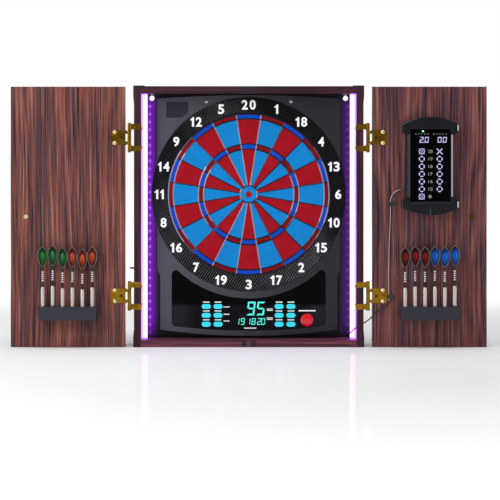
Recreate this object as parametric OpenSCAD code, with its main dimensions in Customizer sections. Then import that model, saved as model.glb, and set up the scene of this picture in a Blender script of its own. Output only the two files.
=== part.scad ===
// Electronic dartboard in a wooden wall cabinet with two doors that open flat beside it.
// X runs to the right, -Y is the front that the player faces, +Z is up.
// The origin is the middle of the cabinet's underside. All sizes are millimetres.

/* [Cabinet] */
// Outer width of the cabinet box
cab_w = 482; // [476:2:500]
// Height of the cabinet box
cab_h = 548; // [546:2:570]
// Depth of the box without its doors
cab_d = 75; // [74:1:90]
// Thickness of the frame boards and the doors
board_t = 15; // [14:0.5:16]
// Thickness of the back panel
panel_t = 5; // [4:0.5:6]

/* [Doors] */
// Gap between the two closed doors
door_meeting_gap = 2; // [1:0.5:4]
// Gap between a closed door and the cabinet's front edge
door_front_gap = 1.6; // [1.6:0.1:2]
// Distance from the cabinet's side to the hinge axis
hinge_offset = 9.25; // [9:0.25:12]
// Height of each hinge barrel
hinge_h = 58; // [54:1:64]
// Distance from the hinge's middle to the door's end
hinge_inset = 108; // [90:1:130]
// Distance from a knob to the door's free edge
knob_inset = 32; // [25:1:45]

/* [Dartboard] */
// Thickness of the dartboard, from the catch ring to its back
dartboard_t = 29; // [29:0.5:31]
// Height of the bull above the cabinet's underside
target_z = 320.5; // [318:0.5:322]
// Radius of the scoring area
target_r = 171.5; // [171:0.1:172]
// Outer radius of the number ring
catch_r = 206; // [205:0.5:207]
// Width of the spider's webs
web_t = 1.5; // [1.2:0.1:1.8]
// Clearance between a web and a segment
web_gap = 0.3; // [0.2:0.05:0.4]
// Half the width of the plastic body
body_half_w = 194; // [192:0.5:196]
// How far a struck segment moves
segment_travel = 0.8; // [0.5:0.1:0.9]

/* [Keys] */
// Length of a pill-shaped key
key_w = 18.5; // [16:0.5:20]
// Height of a pill-shaped key
key_h = 10; // [8:0.5:12]
// Diameter of the round player button
button_d = 27; // [24:0.5:28]

/* [Darts] */
// Distance between neighbouring darts
dart_pitch = 20.7; // [20.5:0.1:22]
// Diameter of a dart's barrel
barrel_d = 8.5; // [8:0.1:9]
// Width of a flight as it is seen from the front
flight_w = 19.6; // [16:0.2:19.8]
// Distance from a dart's middle line to the door
dart_standoff = 18; // [17:0.5:19]

/* [Scoreboard] */
// Width over the arched end caps
score_w = 119; // [110:1:125]
// Height over the arched end caps
score_h = 205; // [203:1:210]
// Depth of the housing
score_t = 20; // [18:0.5:24]

/* [Light tubes] */
// Diameter of a light tube
tube_d = 10; // [8:0.1:11]

/* [Leads] */
// Diameter of the scoreboard's lead
lead_d = 2.6; // [2:0.1:3]
// Diameter of the power lead
power_d = 3.4; // [3:0.1:3.6]

/* [Hidden] */
$fn = 96;
KEY_ROWS = 3;

// Colours
wood = "#5e3232";
brass = "#b8923a";
steel = "#c8c8cc";
black = "#151517";
graphite = "#4b4b50";
sky_blue = "#1e8ce6";
deep_blue = "#1450c8";
bright_red = "#a01020";
dark_red = "#6e0c18";
slate = "#2c3138";
key_blue = "#35d6ee";

// Planes from front to back
front_y = -cab_d / 2;
back_y = cab_d / 2;
panel_y = back_y - panel_t;
inner_x = cab_w / 2 - board_t;
catch_y = panel_y - dartboard_t;
catch_t = 2.5;
shell_y = catch_y + catch_t;
split_y = panel_y - 13.5;
wall_t = 2.4;

// Door planes. An open door's inner face is flush with the cabinet's front edge.
hinge_x = cab_w / 2 + hinge_offset;
hinge_y = front_y - door_front_gap / 2;
door_near_x = cab_w / 2 + 2 * hinge_offset;
door_far_x = door_near_x + cab_w / 2 - door_meeting_gap / 2;
door_back_y = front_y + board_t;
door_floor_gap = 1;

// Hinge details
leaf_t = 1.3;
knuckle_r = 3.8;
pin_r = 2;
pin_clearance = 0.06;
mid_knuckle_h = 26;
knuckle_gap = 0.3;
leaf_window_h = 34;
door_leaf_h = 31;
door_leaf_notch_h = 16;
door_leaf_reach = 40;
flange_depth = 20;
pin_head_r = 3.9;
pin_head_h = 2.2;
hinge_zs = [hinge_inset, cab_h - hinge_inset];

// Screw details
screw_fit = 0.1;
small_screw_r = 1.5;
small_head_r = 3.2;
small_head_t = 1.6;
cabinet_screw_r = 2.5;
cabinet_head_r = 4;
cabinet_head_t = 3;
cabinet_screw_l = 45;
cabinet_screw_y = 20;
protector_t = 1.5;
protector_screw_z = 21;

// Catch magnets in the front edges
magnet_x = 5;
magnet_w = 10;
magnet_depth = 4;
magnet_stand = 0.5;
magnet_margin = 1;

// Keyholes in the back panel
keyhole_x = 207;
keyhole_z = cab_h - 22.5;
keyhole_r = 5.5;
keyslot_w = 5.5;
keyslot_rise = 3.6;

// Outline of the dartboard's body
body_low_half_w = body_half_w - 6;
body_step_z = 150;
body_step_h = 10;
top_arc_r = 2580;
top_arc_z = 531;
low_arc_r = 1351;
low_arc_z = 20;

shell_screw_x = 90;
shell_screw_z = 518;
shell_screw_r = 4.6;
shell_screw_recess = 1.5;

// Scoring rings, as radii of the web lines
bull_in_r = 6.4;
bull_out_r = 18.2;
triple_in_r = 96;
triple_out_r = 107;
double_in_r = 160.3;
ring_radii = [bull_out_r, triple_in_r, triple_out_r, double_in_r];
rim_t = 2;
sectors = 20;
sector_a = 360 / sectors;

// Depths inside the dartboard
spider_y = catch_y + 0.4;
spider_back_y = catch_y + 9.6;
segment_y = catch_y + 1.1;
segment_back_y = catch_y + 9.9;
mat_y = segment_back_y + 1;
mat_t = 2.4;
board_y = catch_y + 9.9;
board_pcb_t = 1.6;

// Display window
window_half_w = 163.5;
window_y = shell_y + 0.4;
window_t = 2;
window_margin = 11;
window_arch_r = 221;
window_corner_r = 9;
ledge_w = 4;
ledge_t = 1.6;

// Keys and the round button
key_clearance = 0.35;
key_stand = 2.2;
key_flange = 0.8;
key_flange_t = 1.2;
left_key_xs = [-90.2, -65.2];
right_key_xs = [64.5, 89.6];
key_top_z = 82.3;
key_row_pitch = 18.85;
button_x = 123.8;
button_z = 53.2;
button_stand = 4.6;
button_relief = 2.6;

// Light tubes
tube_x = 220.5;
tube_y = catch_y + 10.5;
tube_end_gap = 0.5;
channel_w = 10.2;

// Dart holder and darts
holder_x = 378.5;
holder_w = 123;
holder_z = 58.4;
holder_h = 28.3;
holder_t = 28;
holder_taper = 1.2;
dart_hole_r = barrel_d / 2 + 0.6;
dart_hole_depth = 26.3;
tip_r = 2.7;
tip_collar_h = 5;
tip_point_r = 1.2;
tip_l = 18.5;
barrel_l = 43.5;
shaft_l = 40;
shaft_r = 2.75;
flight_l = 45;
flight_t = 0.8;
flight_hub_r = 2.2;
dart_joint_gap = 0.05;
holder_top_z = holder_z + holder_h;
// How deep each barrel stands in its holder, from the hinge side
left_dart_sinks = [3.3, 7.4, 3.9, 5.1, 0.5, 2.7];
right_dart_sinks = [4.3, 1.7, 3.5, 1.7, 3.5, 0.5];
dart_y = front_y - dart_standoff;

// Scoreboard
score_x = 379.5;
score_z = 277.5;
score_body_w = 97;
score_cap_h = 29;
score_cap_arc_r = 119;
score_cap_slope = 9;
score_window_w = 84;
score_window_h = 151;
score_window_z = 306;
score_wall = 2.2;
score_window_fit = 0.2;

// Scoreboard lead: its route on the right door, then across the hinge into the cabinet
lead_off = 2;
lead_y = front_y - lead_off;
clip_zs = [300, 106];
clip_xs = [298, 294.5];
clip_w = 13;
clip_h = 8;
clip_t = 5;
door_lead_route = [
    [331.2, -45, 331], [320, -44.5, 331], [309, -42, 327], [301, -39.8, 318], [298, -39.5, 306],
    [298, -39.5, 286], [297.5, -39.5, 262], [296, -39.5, 232], [295, -39.5, 200],
    [294.5, -39.5, 165], [294.5, -39.5, 132], [294.5, -39.5, 98]
];
crossing_route = [
    [294.5, -39.5, 98], [291.5, -39.9, 91], [285, -40.6, 85], [275, -41.2, 79], [265, -41.6, 71.5],
    [256, -41.6, 62], [247, -41.4, 54.5], [238, -41.2, 49.5], [230, -40.8, 44.5],
    [222.5, -37.4, 38.5], [214.5, -30, 30.5], [206.5, -18.5, 25], [200, -5, 23.5], [196, 8, 30],
    [193, 15.5, 40], [188.4, 16.5, 44]
];

// Power lead: out of the left side, back round the edge and down to the coil on the floor
power_exit_y = 25;
power_exit_z = 163;
power_hole_r = 2.2;
power_start_x = -body_half_w - 0.2;
power_route = [
    [power_start_x, 25, 163], [-215, 25, 163], [-232, 25, 163], [-243, 25, 163], [-249.5, 26.5, 163],
    [-253.3, 31.5, 163], [-253.6, 38, 163], [-250.6, 44.5, 162.8], [-244.5, 49, 162],
    [-236.5, 51, 160], [-228, 51.5, 155.5], [-220.5, 51.5, 147], [-215, 51, 134],
    [-212, 49.5, 115], [-211, 47.5, 90], [-210.7, 46, 62], [-210.7, 45.5, 38],
    [-210.7, 46.5, 21], [-210.7, 50, 9], [-210.7, 56, 3.2], [-210.7, 62, 1.75]
];
coil_x = -190;
coil_y = 62;
coil_mean_r = 19;
coil_columns = 2;
coil_layers = 6;
coil_h = coil_layers * power_d;
coil_half_t = coil_columns * power_d / 2;
tail_route = [
    [-190, 82.7, 18.7], [-180, 82.2, 18.4], [-170, 79, 17.2], [-161, 74.2, 15.6],
    [-153, 69.2, 14.3], [-147, 66.6, 13.6], [-142, 66, 13.5]
];
adapter_x = -130;
adapter_y = 66;
adapter_l = 56;
adapter_w = 36;
adapter_h = 27;
relief_l = 12;
relief_r = 3.2;
prong_l = 16;

// ---- Shared shapes ----

// A box between two corners
module slab(low, high) {
    translate(low) cube(high - low);
}

// A flat outline in X and Z, from one depth to a deeper one
module plate(near_y, far_y) {
    translate([0, far_y, 0])
        rotate([90, 0, 0])
            linear_extrude(far_y - near_y)
                children();
}

// A cylinder along Y
module rod_y(x, z, near_y, far_y, r) {
    translate([x, near_y, z])
        rotate([-90, 0, 0])
            cylinder(h = far_y - near_y, r = r);
}

// A cylinder along X
module rod_x(y, z, low_x, high_x, r) {
    translate([low_x, y, z])
        rotate([0, 90, 0])
            cylinder(h = high_x - low_x, r = r);
}

// A turned shape round the target's axis, from points of radius and depth
module turned_y(x, z, profile) {
    translate([x, 0, z])
        rotate([90, 0, 0])
            rotate_extrude()
                polygon([for (p = profile) [p[0], -p[1]]]);
}

// The same children on the left and, mirrored, on the right
module both_sides() {
    children();
    mirror([1, 0, 0]) children();
}

function unit(v) = v / norm(v);
function tangent(path, i) =
    unit(path[min(i + 1, len(path) - 1)] - path[max(i - 1, 0)]);
function spline_point(a, b, c, d, t) =
    0.5 * (2 * b + (c - a) * t + (2 * a - 5 * b + 4 * c - d) * t * t
        + (3 * b - a - 3 * c + d) * t * t * t);
function smooth_route(route, steps) = [
    for (i = [0 : len(route) - 2])
        for (s = [0 : steps - 1])
            spline_point(route[max(i - 1, 0)], route[i], route[i + 1],
                route[min(i + 2, len(route) - 1)], s / steps),
    route[len(route) - 1]
];

// A round lead swept along a route. The side vector must never lie along the route.
module lead(route, d, steps, side_vector) {
    path = smooth_route(route, steps);
    sides = 8;
    last = len(path) - 1;
    points = [
        for (i = [0 : last])
            let (t = tangent(path, i), u = unit(cross(t, side_vector)), v = cross(t, u))
                for (k = [0 : sides - 1])
                    path[i] + d / 2 * (cos(360 * k / sides) * u + sin(360 * k / sides) * v)
    ];
    faces = concat(
        [for (i = [0 : last - 1]) for (k = [0 : sides - 1])
            [i * sides + k, (i + 1) * sides + k, i * sides + (k + 1) % sides]],
        [for (i = [0 : last - 1]) for (k = [0 : sides - 1])
            [i * sides + (k + 1) % sides, (i + 1) * sides + k, (i + 1) * sides + (k + 1) % sides]],
        [[for (k = [0 : sides - 1]) k]],
        [[for (k = [0 : sides - 1]) last * sides + sides - 1 - k]]
    );
    polyhedron(points, faces);
}

// ---- Cabinet ----

module cabinet_screw(side, y, z) {
    face_x = cab_w / 2;
    scale_x = side > 0 ? 0 : 1;
    mirror([scale_x, 0, 0]) {
        rod_x(y, z, face_x - cabinet_head_t, face_x, cabinet_head_r);
        rod_x(y, z, face_x - cabinet_screw_l, face_x - cabinet_head_t, cabinet_screw_r);
    }
}

module cabinet_screw_holes() {
    face_x = cab_w / 2;
    for (y = [-cabinet_screw_y, cabinet_screw_y])
        for (z = [board_t / 2, cab_h - board_t / 2]) {
            rod_x(y, z, face_x - cabinet_head_t, face_x + 1, cabinet_head_r + screw_fit);
            rod_x(y, z, face_x - cabinet_screw_l - 1, face_x - 1, cabinet_screw_r + screw_fit);
        }
}

module protector_screws(grow) {
    for (z = [protector_screw_z, cab_h - protector_screw_z])
        rod_x(10, z, cab_w / 2 - 10, cab_w / 2 + protector_t + (grow > 0 ? 1 : 0.6),
            small_screw_r + grow);
}

module side_board() {
    difference() {
        slab([inner_x, front_y, 0], [cab_w / 2, back_y, cab_h]);
        cabinet_screw_holes();
        for (z = hinge_zs)
            for (dz = [-20, 20])
                rod_x(front_y + 12, z + dz, inner_x - 1, inner_x + 10.2, small_screw_r + screw_fit);
        protector_screws(screw_fit);
    }
}

module right_side_board() {
    color(wood) side_board();
}

module left_side_board() {
    color(wood)
        difference() {
            mirror([1, 0, 0]) side_board();
            rod_x(power_exit_y, power_exit_z, -cab_w / 2 - 1, -inner_x + 1, power_hole_r);
        }
}

module cross_board(low_z) {
    difference() {
        slab([-inner_x, front_y, low_z], [inner_x, back_y, low_z + board_t]);
        both_sides() cabinet_screw_holes();
        both_sides()
            slab([magnet_x, front_y - 1, low_z + magnet_margin],
                [magnet_x + magnet_w, front_y + magnet_depth, low_z + board_t - magnet_margin]);
    }
}

// Two magnets in each cross board hold the doors shut
module catch_magnets() {
    color(slate)
        both_sides()
            for (z = [0, cab_h - board_t])
                slab([magnet_x, front_y - magnet_stand, z + magnet_margin],
                    [magnet_x + magnet_w, front_y + magnet_depth, z + board_t - magnet_margin]);
}

module bottom_board() {
    color(wood) cross_board(0);
}

module top_board() {
    color(wood) cross_board(cab_h - board_t);
}

module back_panel() {
    color(black)
        difference() {
            slab([-inner_x, panel_y, board_t], [inner_x, back_y, cab_h - board_t]);
            both_sides() {
                rod_y(keyhole_x, keyhole_z, panel_y - 1, back_y + 1, keyhole_r);
                rod_y(keyhole_x, keyhole_z + keyslot_rise, panel_y - 1, back_y + 1, keyslot_w / 2);
                slab([keyhole_x - keyslot_w / 2, panel_y - 1, keyhole_z],
                    [keyhole_x + keyslot_w / 2, back_y + 1, keyhole_z + keyslot_rise]);
            }
        }
}

// A steel plate on the side face, wider towards the wall, that folds over the top
module corner_protector() {
    near_h = 22;
    far_h = 58;
    difference() {
        union() {
            translate([cab_w / 2, 0, 0])
                rotate([90, 0, 90])
                    linear_extrude(protector_t)
                        polygon([[front_y, cab_h], [back_y, cab_h], [back_y, cab_h - far_h],
                            [back_y - 14, cab_h - far_h], [front_y, cab_h - near_h]]);
            slab([cab_w / 2 - near_h, front_y, cab_h], [cab_w / 2 + protector_t, back_y, cab_h + protector_t]);
        }
        protector_screws(screw_fit);
    }
}

module foot_protector() {
    difference() {
        translate([cab_w / 2, 0, 0])
            rotate([90, 0, 90])
                linear_extrude(protector_t)
                    polygon([[front_y, 0], [back_y, 0], [back_y, 58], [back_y - 14, 58], [front_y, 22]]);
        protector_screws(screw_fit);
    }
}

module corner_protectors() {
    color(slate)
        both_sides() {
            corner_protector();
            foot_protector();
        }
}

// Frame screws, hinge flange screws and the protectors' screws
module cabinet_screws() {
    color(steel) {
        for (side = [-1, 1])
            for (y = [-cabinet_screw_y, cabinet_screw_y])
                for (z = [board_t / 2, cab_h - board_t / 2])
                    cabinet_screw(side, y, z);
        both_sides() {
            protector_screws(0);
            for (z = hinge_zs)
                for (dz = [-20, 20]) {
                    rod_x(front_y + 12, z + dz, inner_x - leaf_t - small_head_t, inner_x - leaf_t,
                        small_head_r);
                    rod_x(front_y + 12, z + dz, inner_x - leaf_t, inner_x + 10, small_screw_r);
                }
        }
    }
}

module led_tubes() {
    color("#e8d8ff")
        both_sides()
            translate([tube_x, tube_y, board_t + tube_end_gap])
                cylinder(h = cab_h - 2 * board_t - 2 * tube_end_gap, r = tube_d / 2);
}

// A profile on the back panel that cradles the tube. The left one lets the power lead through.
module led_channel() {
    difference() {
        slab([tube_x - channel_w / 2, tube_y + 1.5, board_t], [tube_x + channel_w / 2, panel_y, cab_h - board_t]);
        translate([tube_x, tube_y, board_t - 1])
            cylinder(h = cab_h, r = tube_d / 2 + 0.1);
    }
}

module led_channels() {
    color(slate) {
        led_channel();
        difference() {
            mirror([1, 0, 0]) led_channel();
            rod_x(power_exit_y, power_exit_z, -inner_x, -body_half_w, power_hole_r);
        }
    }
}

// ---- Hinges ----

module hinge_pin(z) {
    half_h = hinge_h / 2 + 0.2;
    translate([hinge_x, hinge_y, z - half_h])
        cylinder(h = 2 * half_h, r = pin_r);
    for (up = [0, 1])
        translate([hinge_x, hinge_y, z])
            mirror([0, 0, up])
                translate([0, 0, half_h])
                    rotate_extrude()
                        polygon([[0, 0], [pin_head_r, 0], [pin_head_r, 1], [2.6, 1.8], [1, pin_head_h], [0, pin_head_h]]);
}

module hinge_pins() {
    color(brass)
        both_sides()
            for (z = hinge_zs)
                hinge_pin(z);
}

// The C-shaped leaf: a flange inside the cabinet and two prongs that cross its front edge
module cabinet_leaf(z) {
    difference() {
        union() {
            slab([inner_x - leaf_t, front_y, z - hinge_h / 2], [inner_x, front_y + flange_depth, z + hinge_h / 2]);
            slab([inner_x - leaf_t, front_y - leaf_t, z - hinge_h / 2], [hinge_x, front_y, z + hinge_h / 2]);
            translate([hinge_x, hinge_y, z - hinge_h / 2])
                cylinder(h = hinge_h, r = knuckle_r);
        }
        slab([inner_x - leaf_t - 1, front_y - leaf_t - 1, z - leaf_window_h / 2],
            [hinge_x - knuckle_r - 0.5, front_y, z + leaf_window_h / 2]);
        slab([hinge_x - knuckle_r - 1, front_y - knuckle_r - 3, z - mid_knuckle_h / 2 - knuckle_gap],
            [hinge_x + knuckle_r + 1, front_y + knuckle_r + 1, z + mid_knuckle_h / 2 + knuckle_gap]);
        translate([hinge_x, hinge_y, z - hinge_h])
            cylinder(h = 2 * hinge_h, r = pin_r + pin_clearance);
        for (dz = [-20, 20])
            rod_x(front_y + 12, z + dz, inner_x - leaf_t - 1, inner_x + 1, small_screw_r + screw_fit);
    }
}

module hinge_cabinet_leaves() {
    color(brass)
        both_sides()
            for (z = hinge_zs)
                cabinet_leaf(z);
}

// Places of a door leaf's screws, from the hinge axis and the hinge's middle
door_leaf_far_screws = [[31.2, 11.5], [31.2, -11.5]];
door_leaf_near_screw = [17, 0];
far_head_r = 4.3;
far_head_t = 1.8;

module door_leaf(z) {
    difference() {
        union() {
            translate([hinge_x, hinge_y, z - mid_knuckle_h / 2])
                cylinder(h = mid_knuckle_h, r = knuckle_r);
            slab([hinge_x, front_y - leaf_t, z - mid_knuckle_h / 2],
                [hinge_x + 6, front_y, z + mid_knuckle_h / 2]);
            slab([hinge_x + 5, front_y - leaf_t, z - door_leaf_h / 2],
                [hinge_x + door_leaf_reach, front_y, z + door_leaf_h / 2]);
        }
        translate([hinge_x, hinge_y, z - hinge_h])
            cylinder(h = 2 * hinge_h, r = pin_r + pin_clearance);
        for (p = door_leaf_far_screws)
            rod_y(hinge_x + p[0], z + p[1], front_y - leaf_t - 1, front_y + 1, small_screw_r + screw_fit);
        rod_y(hinge_x + door_leaf_near_screw[0], z + door_leaf_near_screw[1], front_y - leaf_t - 1,
            front_y + 1, small_head_r + screw_fit);
        slab([hinge_x + knuckle_r + 0.3, front_y - leaf_t - 1, z - door_leaf_notch_h / 2],
            [door_near_x - 0.5, front_y + 1, z + door_leaf_notch_h / 2]);
    }
}

module door_leaves() {
    color(brass)
        for (z = hinge_zs)
            door_leaf(z);
}

module right_door_hinge_leaves() {
    door_leaves();
}

module left_door_hinge_leaves() {
    mirror([1, 0, 0]) door_leaves();
}

// ---- Doors ----

knob_x = door_far_x - knob_inset;
knob_z = cab_h / 2;
knob_screw_r = 2;
knob_screw_head_r = 4.5;
knob_screw_head_t = 2;
knob_screw_depth = 12;

// Shanks of the two domed screws of each leaf, the flush screw between them and the knob's
// screw, which runs right through the door
module door_screw_set(grow) {
    near = door_leaf_near_screw;
    for (z = hinge_zs) {
        for (p = door_leaf_far_screws)
            rod_y(hinge_x + p[0], z + p[1], front_y - leaf_t, front_y + 11 + grow, small_screw_r + grow);
        rod_y(hinge_x + near[0], z + near[1], front_y - leaf_t - grow, front_y + 0.6 + grow, small_head_r + grow);
        rod_y(hinge_x + near[0], z + near[1], front_y + 0.5, front_y + 11 + grow, small_screw_r + grow);
    }
    rod_y(knob_x, knob_z, front_y - 0.5, door_back_y + knob_screw_depth + grow, knob_screw_r + grow);
}

module door_board() {
    color(wood)
        difference() {
            slab([door_near_x, front_y, door_floor_gap], [door_far_x, door_back_y, cab_h - door_floor_gap]);
            door_screw_set(screw_fit);
        }
}

module door_screws() {
    color(steel) {
        door_screw_set(0);
        rod_y(knob_x, knob_z, front_y - knob_screw_head_t, front_y, knob_screw_head_r);
        for (z = hinge_zs)
            for (p = door_leaf_far_screws)
                turned_y(hinge_x + p[0], z + p[1], [
                    [0, front_y - leaf_t], [far_head_r, front_y - leaf_t], [far_head_r - 0.6, front_y - leaf_t - 1],
                    [2.4, front_y - leaf_t - far_head_t], [0, front_y - leaf_t - far_head_t]
                ]);
    }
}

module knob() {
    color(black)
        difference() {
            turned_y(knob_x, knob_z, [
                [0, door_back_y], [7.5, door_back_y], [7.5, door_back_y + 2], [5, door_back_y + 5],
                [5, door_back_y + 11], [10.5, door_back_y + 18], [10.5, door_back_y + 20],
                [8, door_back_y + 23.5], [4, door_back_y + 25], [0, door_back_y + 25]
            ]);
            rod_y(knob_x, knob_z, door_back_y - 1, door_back_y + knob_screw_depth + 0.5,
                knob_screw_r + screw_fit);
        }
}

// Place of dart number i of six, from the hinge side
function dart_x(i) = holder_x + (i - 2.5) * dart_pitch;

module dart_holder() {
    color(slate)
        difference() {
            plate(front_y - holder_t, front_y)
                polygon([
                    [holder_x - holder_w / 2, holder_z + holder_h], [holder_x + holder_w / 2, holder_z + holder_h],
                    [holder_x + holder_w / 2 - holder_taper, holder_z],
                    [holder_x - holder_w / 2 + holder_taper, holder_z]
                ]);
            for (i = [0 : 5])
                translate([dart_x(i), dart_y, holder_top_z - dart_hole_depth])
                    cylinder(h = 2 * dart_hole_depth, r = dart_hole_r);
        }
}

// One dart, as its soft tip, barrel, shaft and four-winged flight, a hair apart from each other
module dart(i, sink) {
    translate([dart_x(i), dart_y, holder_top_z - sink]) {
        rotate_extrude()
            polygon([[0, -dart_joint_gap], [tip_r, -dart_joint_gap], [tip_r, -tip_collar_h],
                [tip_point_r, -tip_collar_h - 3], [0.6, -tip_l], [0, -tip_l]]);
        rotate_extrude()
            polygon([[0, 0], [3.2, 0], [barrel_d / 2, 4], [barrel_d / 2, barrel_l - 6], [3, barrel_l], [0, barrel_l]]);
        translate([0, 0, barrel_l + dart_joint_gap])
            cylinder(h = shaft_l - 2 * dart_joint_gap, r = shaft_r);
        translate([0, 0, barrel_l + shaft_l])
            dart_flight();
    }
}

module dart_flight() {
    reach = flight_w / 2 * sqrt(2);
    cylinder(h = flight_l - 12, r = flight_hub_r);
    for (a = [45, 135])
        rotate([0, 0, a])
            translate([0, flight_t / 2, 0])
                rotate([90, 0, 0])
                    linear_extrude(flight_t)
                        polygon([
                            [-2, 0], [2, 0], [0.6 * reach, 9], [0.92 * reach, 18], [reach, 26],
                            [0.95 * reach, 33], [0.6 * reach, 39], [0, flight_l],
                            [-0.6 * reach, 39], [-0.95 * reach, 33], [-reach, 26], [-0.92 * reach, 18],
                            [-0.6 * reach, 9]
                        ]);
}

module dart_set(first, sinks, hue) {
    color(hue)
        for (i = [first : first + 2])
            dart(i, sinks[i]);
}

module right_door() {
    door_board();
}

module left_door() {
    mirror([1, 0, 0]) door_board();
}

module right_door_screws() {
    door_screws();
}

module left_door_screws() {
    mirror([1, 0, 0]) door_screws();
}

module right_knob() {
    knob();
}

module left_knob() {
    mirror([1, 0, 0]) knob();
}

module right_dart_holder() {
    dart_holder();
}

module left_dart_holder() {
    mirror([1, 0, 0]) dart_holder();
}

module red_darts() {
    dart_set(0, right_dart_sinks, "#c02028");
}

module blue_darts() {
    dart_set(3, right_dart_sinks, "#2050c0");
}

module amber_darts() {
    mirror([1, 0, 0]) dart_set(0, left_dart_sinks, "#c86414");
}

module green_darts() {
    mirror([1, 0, 0]) dart_set(3, left_dart_sinks, "#147838");
}

// ---- Dartboard body ----

module target_disc(r) {
    translate([0, target_z]) circle(r = r, $fn = 180);
}

// The body's outline, drawn in by a margin all round
module body_outline(margin) {
    half_w = body_half_w - margin;
    low_half_w = body_low_half_w - margin;
    intersection() {
        polygon([
            [-low_half_w, 0], [low_half_w, 0], [low_half_w, body_step_z - margin / 2],
            [half_w, body_step_z + body_step_h - margin / 2], [half_w, cab_h],
            [-half_w, cab_h], [-half_w, body_step_z + body_step_h - margin / 2],
            [-low_half_w, body_step_z - margin / 2]
        ]);
        translate([0, top_arc_z - top_arc_r]) circle(r = top_arc_r - margin, $fn = 180);
        translate([0, low_arc_z + low_arc_r]) circle(r = low_arc_r - margin, $fn = 180);
    }
    target_disc(catch_r - margin);
}

// The display window's outline under the arch, grown by a margin all round
module window_outline(grow) {
    offset(r = window_corner_r + grow, $fn = 48)
        offset(delta = -window_corner_r)
            difference() {
                intersection() {
                    translate([-window_half_w, 0]) square([2 * window_half_w, target_z]);
                    translate([0, low_arc_z + low_arc_r]) circle(r = low_arc_r - window_margin, $fn = 180);
                }
                target_disc(window_arch_r);
            }
}

module front_shell() {
    badge_recess = 0.8;
    well_r = target_r + rim_t + 0.2;
    color(graphite)
        difference() {
            union() {
                difference() {
                    plate(shell_y, split_y) body_outline(0);
                    plate(shell_y + wall_t, split_y + 1) body_outline(wall_t);
                }
                plate(shell_y + wall_t - 0.1, split_y - 1) target_disc(well_r + wall_t);
                plate(shell_y + wall_t - 0.1, shell_y + wall_t + ledge_t)
                    difference() {
                        window_outline(ledge_w);
                        target_disc(well_r);
                    }
                plate(shell_y - 1.4, shell_y + 0.1)
                    intersection() {
                        difference() {
                            target_disc(window_arch_r);
                            target_disc(catch_r + 0.3);
                        }
                        translate([-window_half_w, 0]) square([2 * window_half_w, target_z]);
                        body_outline(0);
                    }
            }
            plate(shell_y - 5, split_y + 5) target_disc(well_r);
            plate(shell_y - 1, shell_y + wall_t) difference() {
                window_outline(0.2);
                target_disc(window_arch_r);
            }
            plate(shell_y, shell_y + wall_t + ledge_t + 1) window_outline(-ledge_w);
            plate(shell_y - 1, shell_y + badge_recess)
                difference() {
                    translate([-175, 483]) square([47, 34]);
                    target_disc(catch_r + 6);
                }
            both_sides()
                rod_y(shell_screw_x, shell_screw_z, shell_y - 1, shell_y + shell_screw_recess, shell_screw_r);
            rod_y(button_x, button_z, shell_y + wall_t, split_y, button_d / 2 + button_relief);
            rod_x(16.5, 44, body_low_half_w - wall_t - 1, body_half_w, lead_d / 2 + 0.2);
        }
}

module rear_shell() {
    rib_t = 3;
    color(black)
        difference() {
            union() {
                difference() {
                    plate(split_y, panel_y) body_outline(0);
                    plate(split_y - 1, panel_y - wall_t) body_outline(wall_t);
                }
                for (r = [24, 90, 160])
                    plate(mat_y + mat_t, panel_y - wall_t + 0.1)
                        difference() {
                            target_disc(r);
                            target_disc(r - rib_t);
                        }
            }
            rod_x(power_exit_y, power_exit_z, -body_half_w - 1, -body_half_w + wall_t + 1, power_d / 2 + 0.1);
        }
}

module catch_ring() {
    inner_r = target_r + rim_t + 0.6;
    color(black)
        turned_y(0, target_z, [
            [inner_r, shell_y], [inner_r, catch_y + 0.6], [inner_r + 0.6, catch_y],
            [catch_r - 1.2, catch_y], [catch_r, catch_y + 1.2], [catch_r, shell_y]
        ]);
}

module ring_band(inner_r, outer_r, near_y, far_y) {
    turned_y(0, target_z, [[inner_r, near_y], [outer_r, near_y], [outer_r, far_y], [inner_r, far_y]]);
}

module spider() {
    color(black)
        plate(spider_y, spider_back_y)
            translate([0, target_z]) {
                for (r = ring_radii)
                    difference() {
                        circle(r = r + web_t / 2, $fn = 180);
                        circle(r = r - web_t / 2, $fn = 180);
                    }
                difference() {
                    circle(r = target_r + rim_t, $fn = 180);
                    circle(r = target_r, $fn = 180);
                }
                for (s = [0 : sectors - 1])
                    rotate((s + 0.5) * sector_a)
                        translate([-web_t / 2, bull_out_r]) square([web_t, target_r + 0.5 - bull_out_r]);
            }
}

module sensor_mat() {
    color("#3a3a3e")
        rod_y(0, target_z, mat_y, mat_y + mat_t, 168);
}

// ---- Scoring segments ----

// One segment between two web radii, centred on sector s counted clockwise from the top
module segment(s, inner_r, outer_r) {
    half_gap = web_t / 2 + web_gap;
    far = 2 * outer_r;
    plate(segment_y, segment_back_y)
        translate([0, target_z])
            rotate(-s * sector_a)
                intersection() {
                    difference() {
                        circle(r = outer_r - half_gap, $fn = 180);
                        circle(r = inner_r + half_gap, $fn = 180);
                    }
                    rotate(-sector_a / 2) translate([-far - half_gap, 0]) square([far, far]);
                    rotate(sector_a / 2) translate([half_gap, 0]) square([far, far]);
                }
}

// Single segments of every second sector
module singles(first) {
    for (s = [first : 2 : sectors - 1]) {
        segment(s, bull_out_r, triple_in_r);
        segment(s, triple_out_r, double_in_r);
    }
}

// Double and triple segments of every second sector
module ring_segments(first) {
    for (s = [first : 2 : sectors - 1]) {
        segment(s, triple_in_r, triple_out_r);
        segment(s, double_in_r, target_r + web_t / 2);
    }
}

module red_singles() {
    color(bright_red) singles(0);
}

module blue_singles() {
    color(sky_blue) singles(1);
}

module red_ring_segments() {
    color(dark_red) ring_segments(1);
}

module blue_ring_segments() {
    color(deep_blue) ring_segments(0);
}

module outer_bull() {
    color(sky_blue)
        ring_band(bull_in_r + 0.4, bull_out_r - web_t / 2 - web_gap, segment_y, segment_back_y);
}

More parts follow.
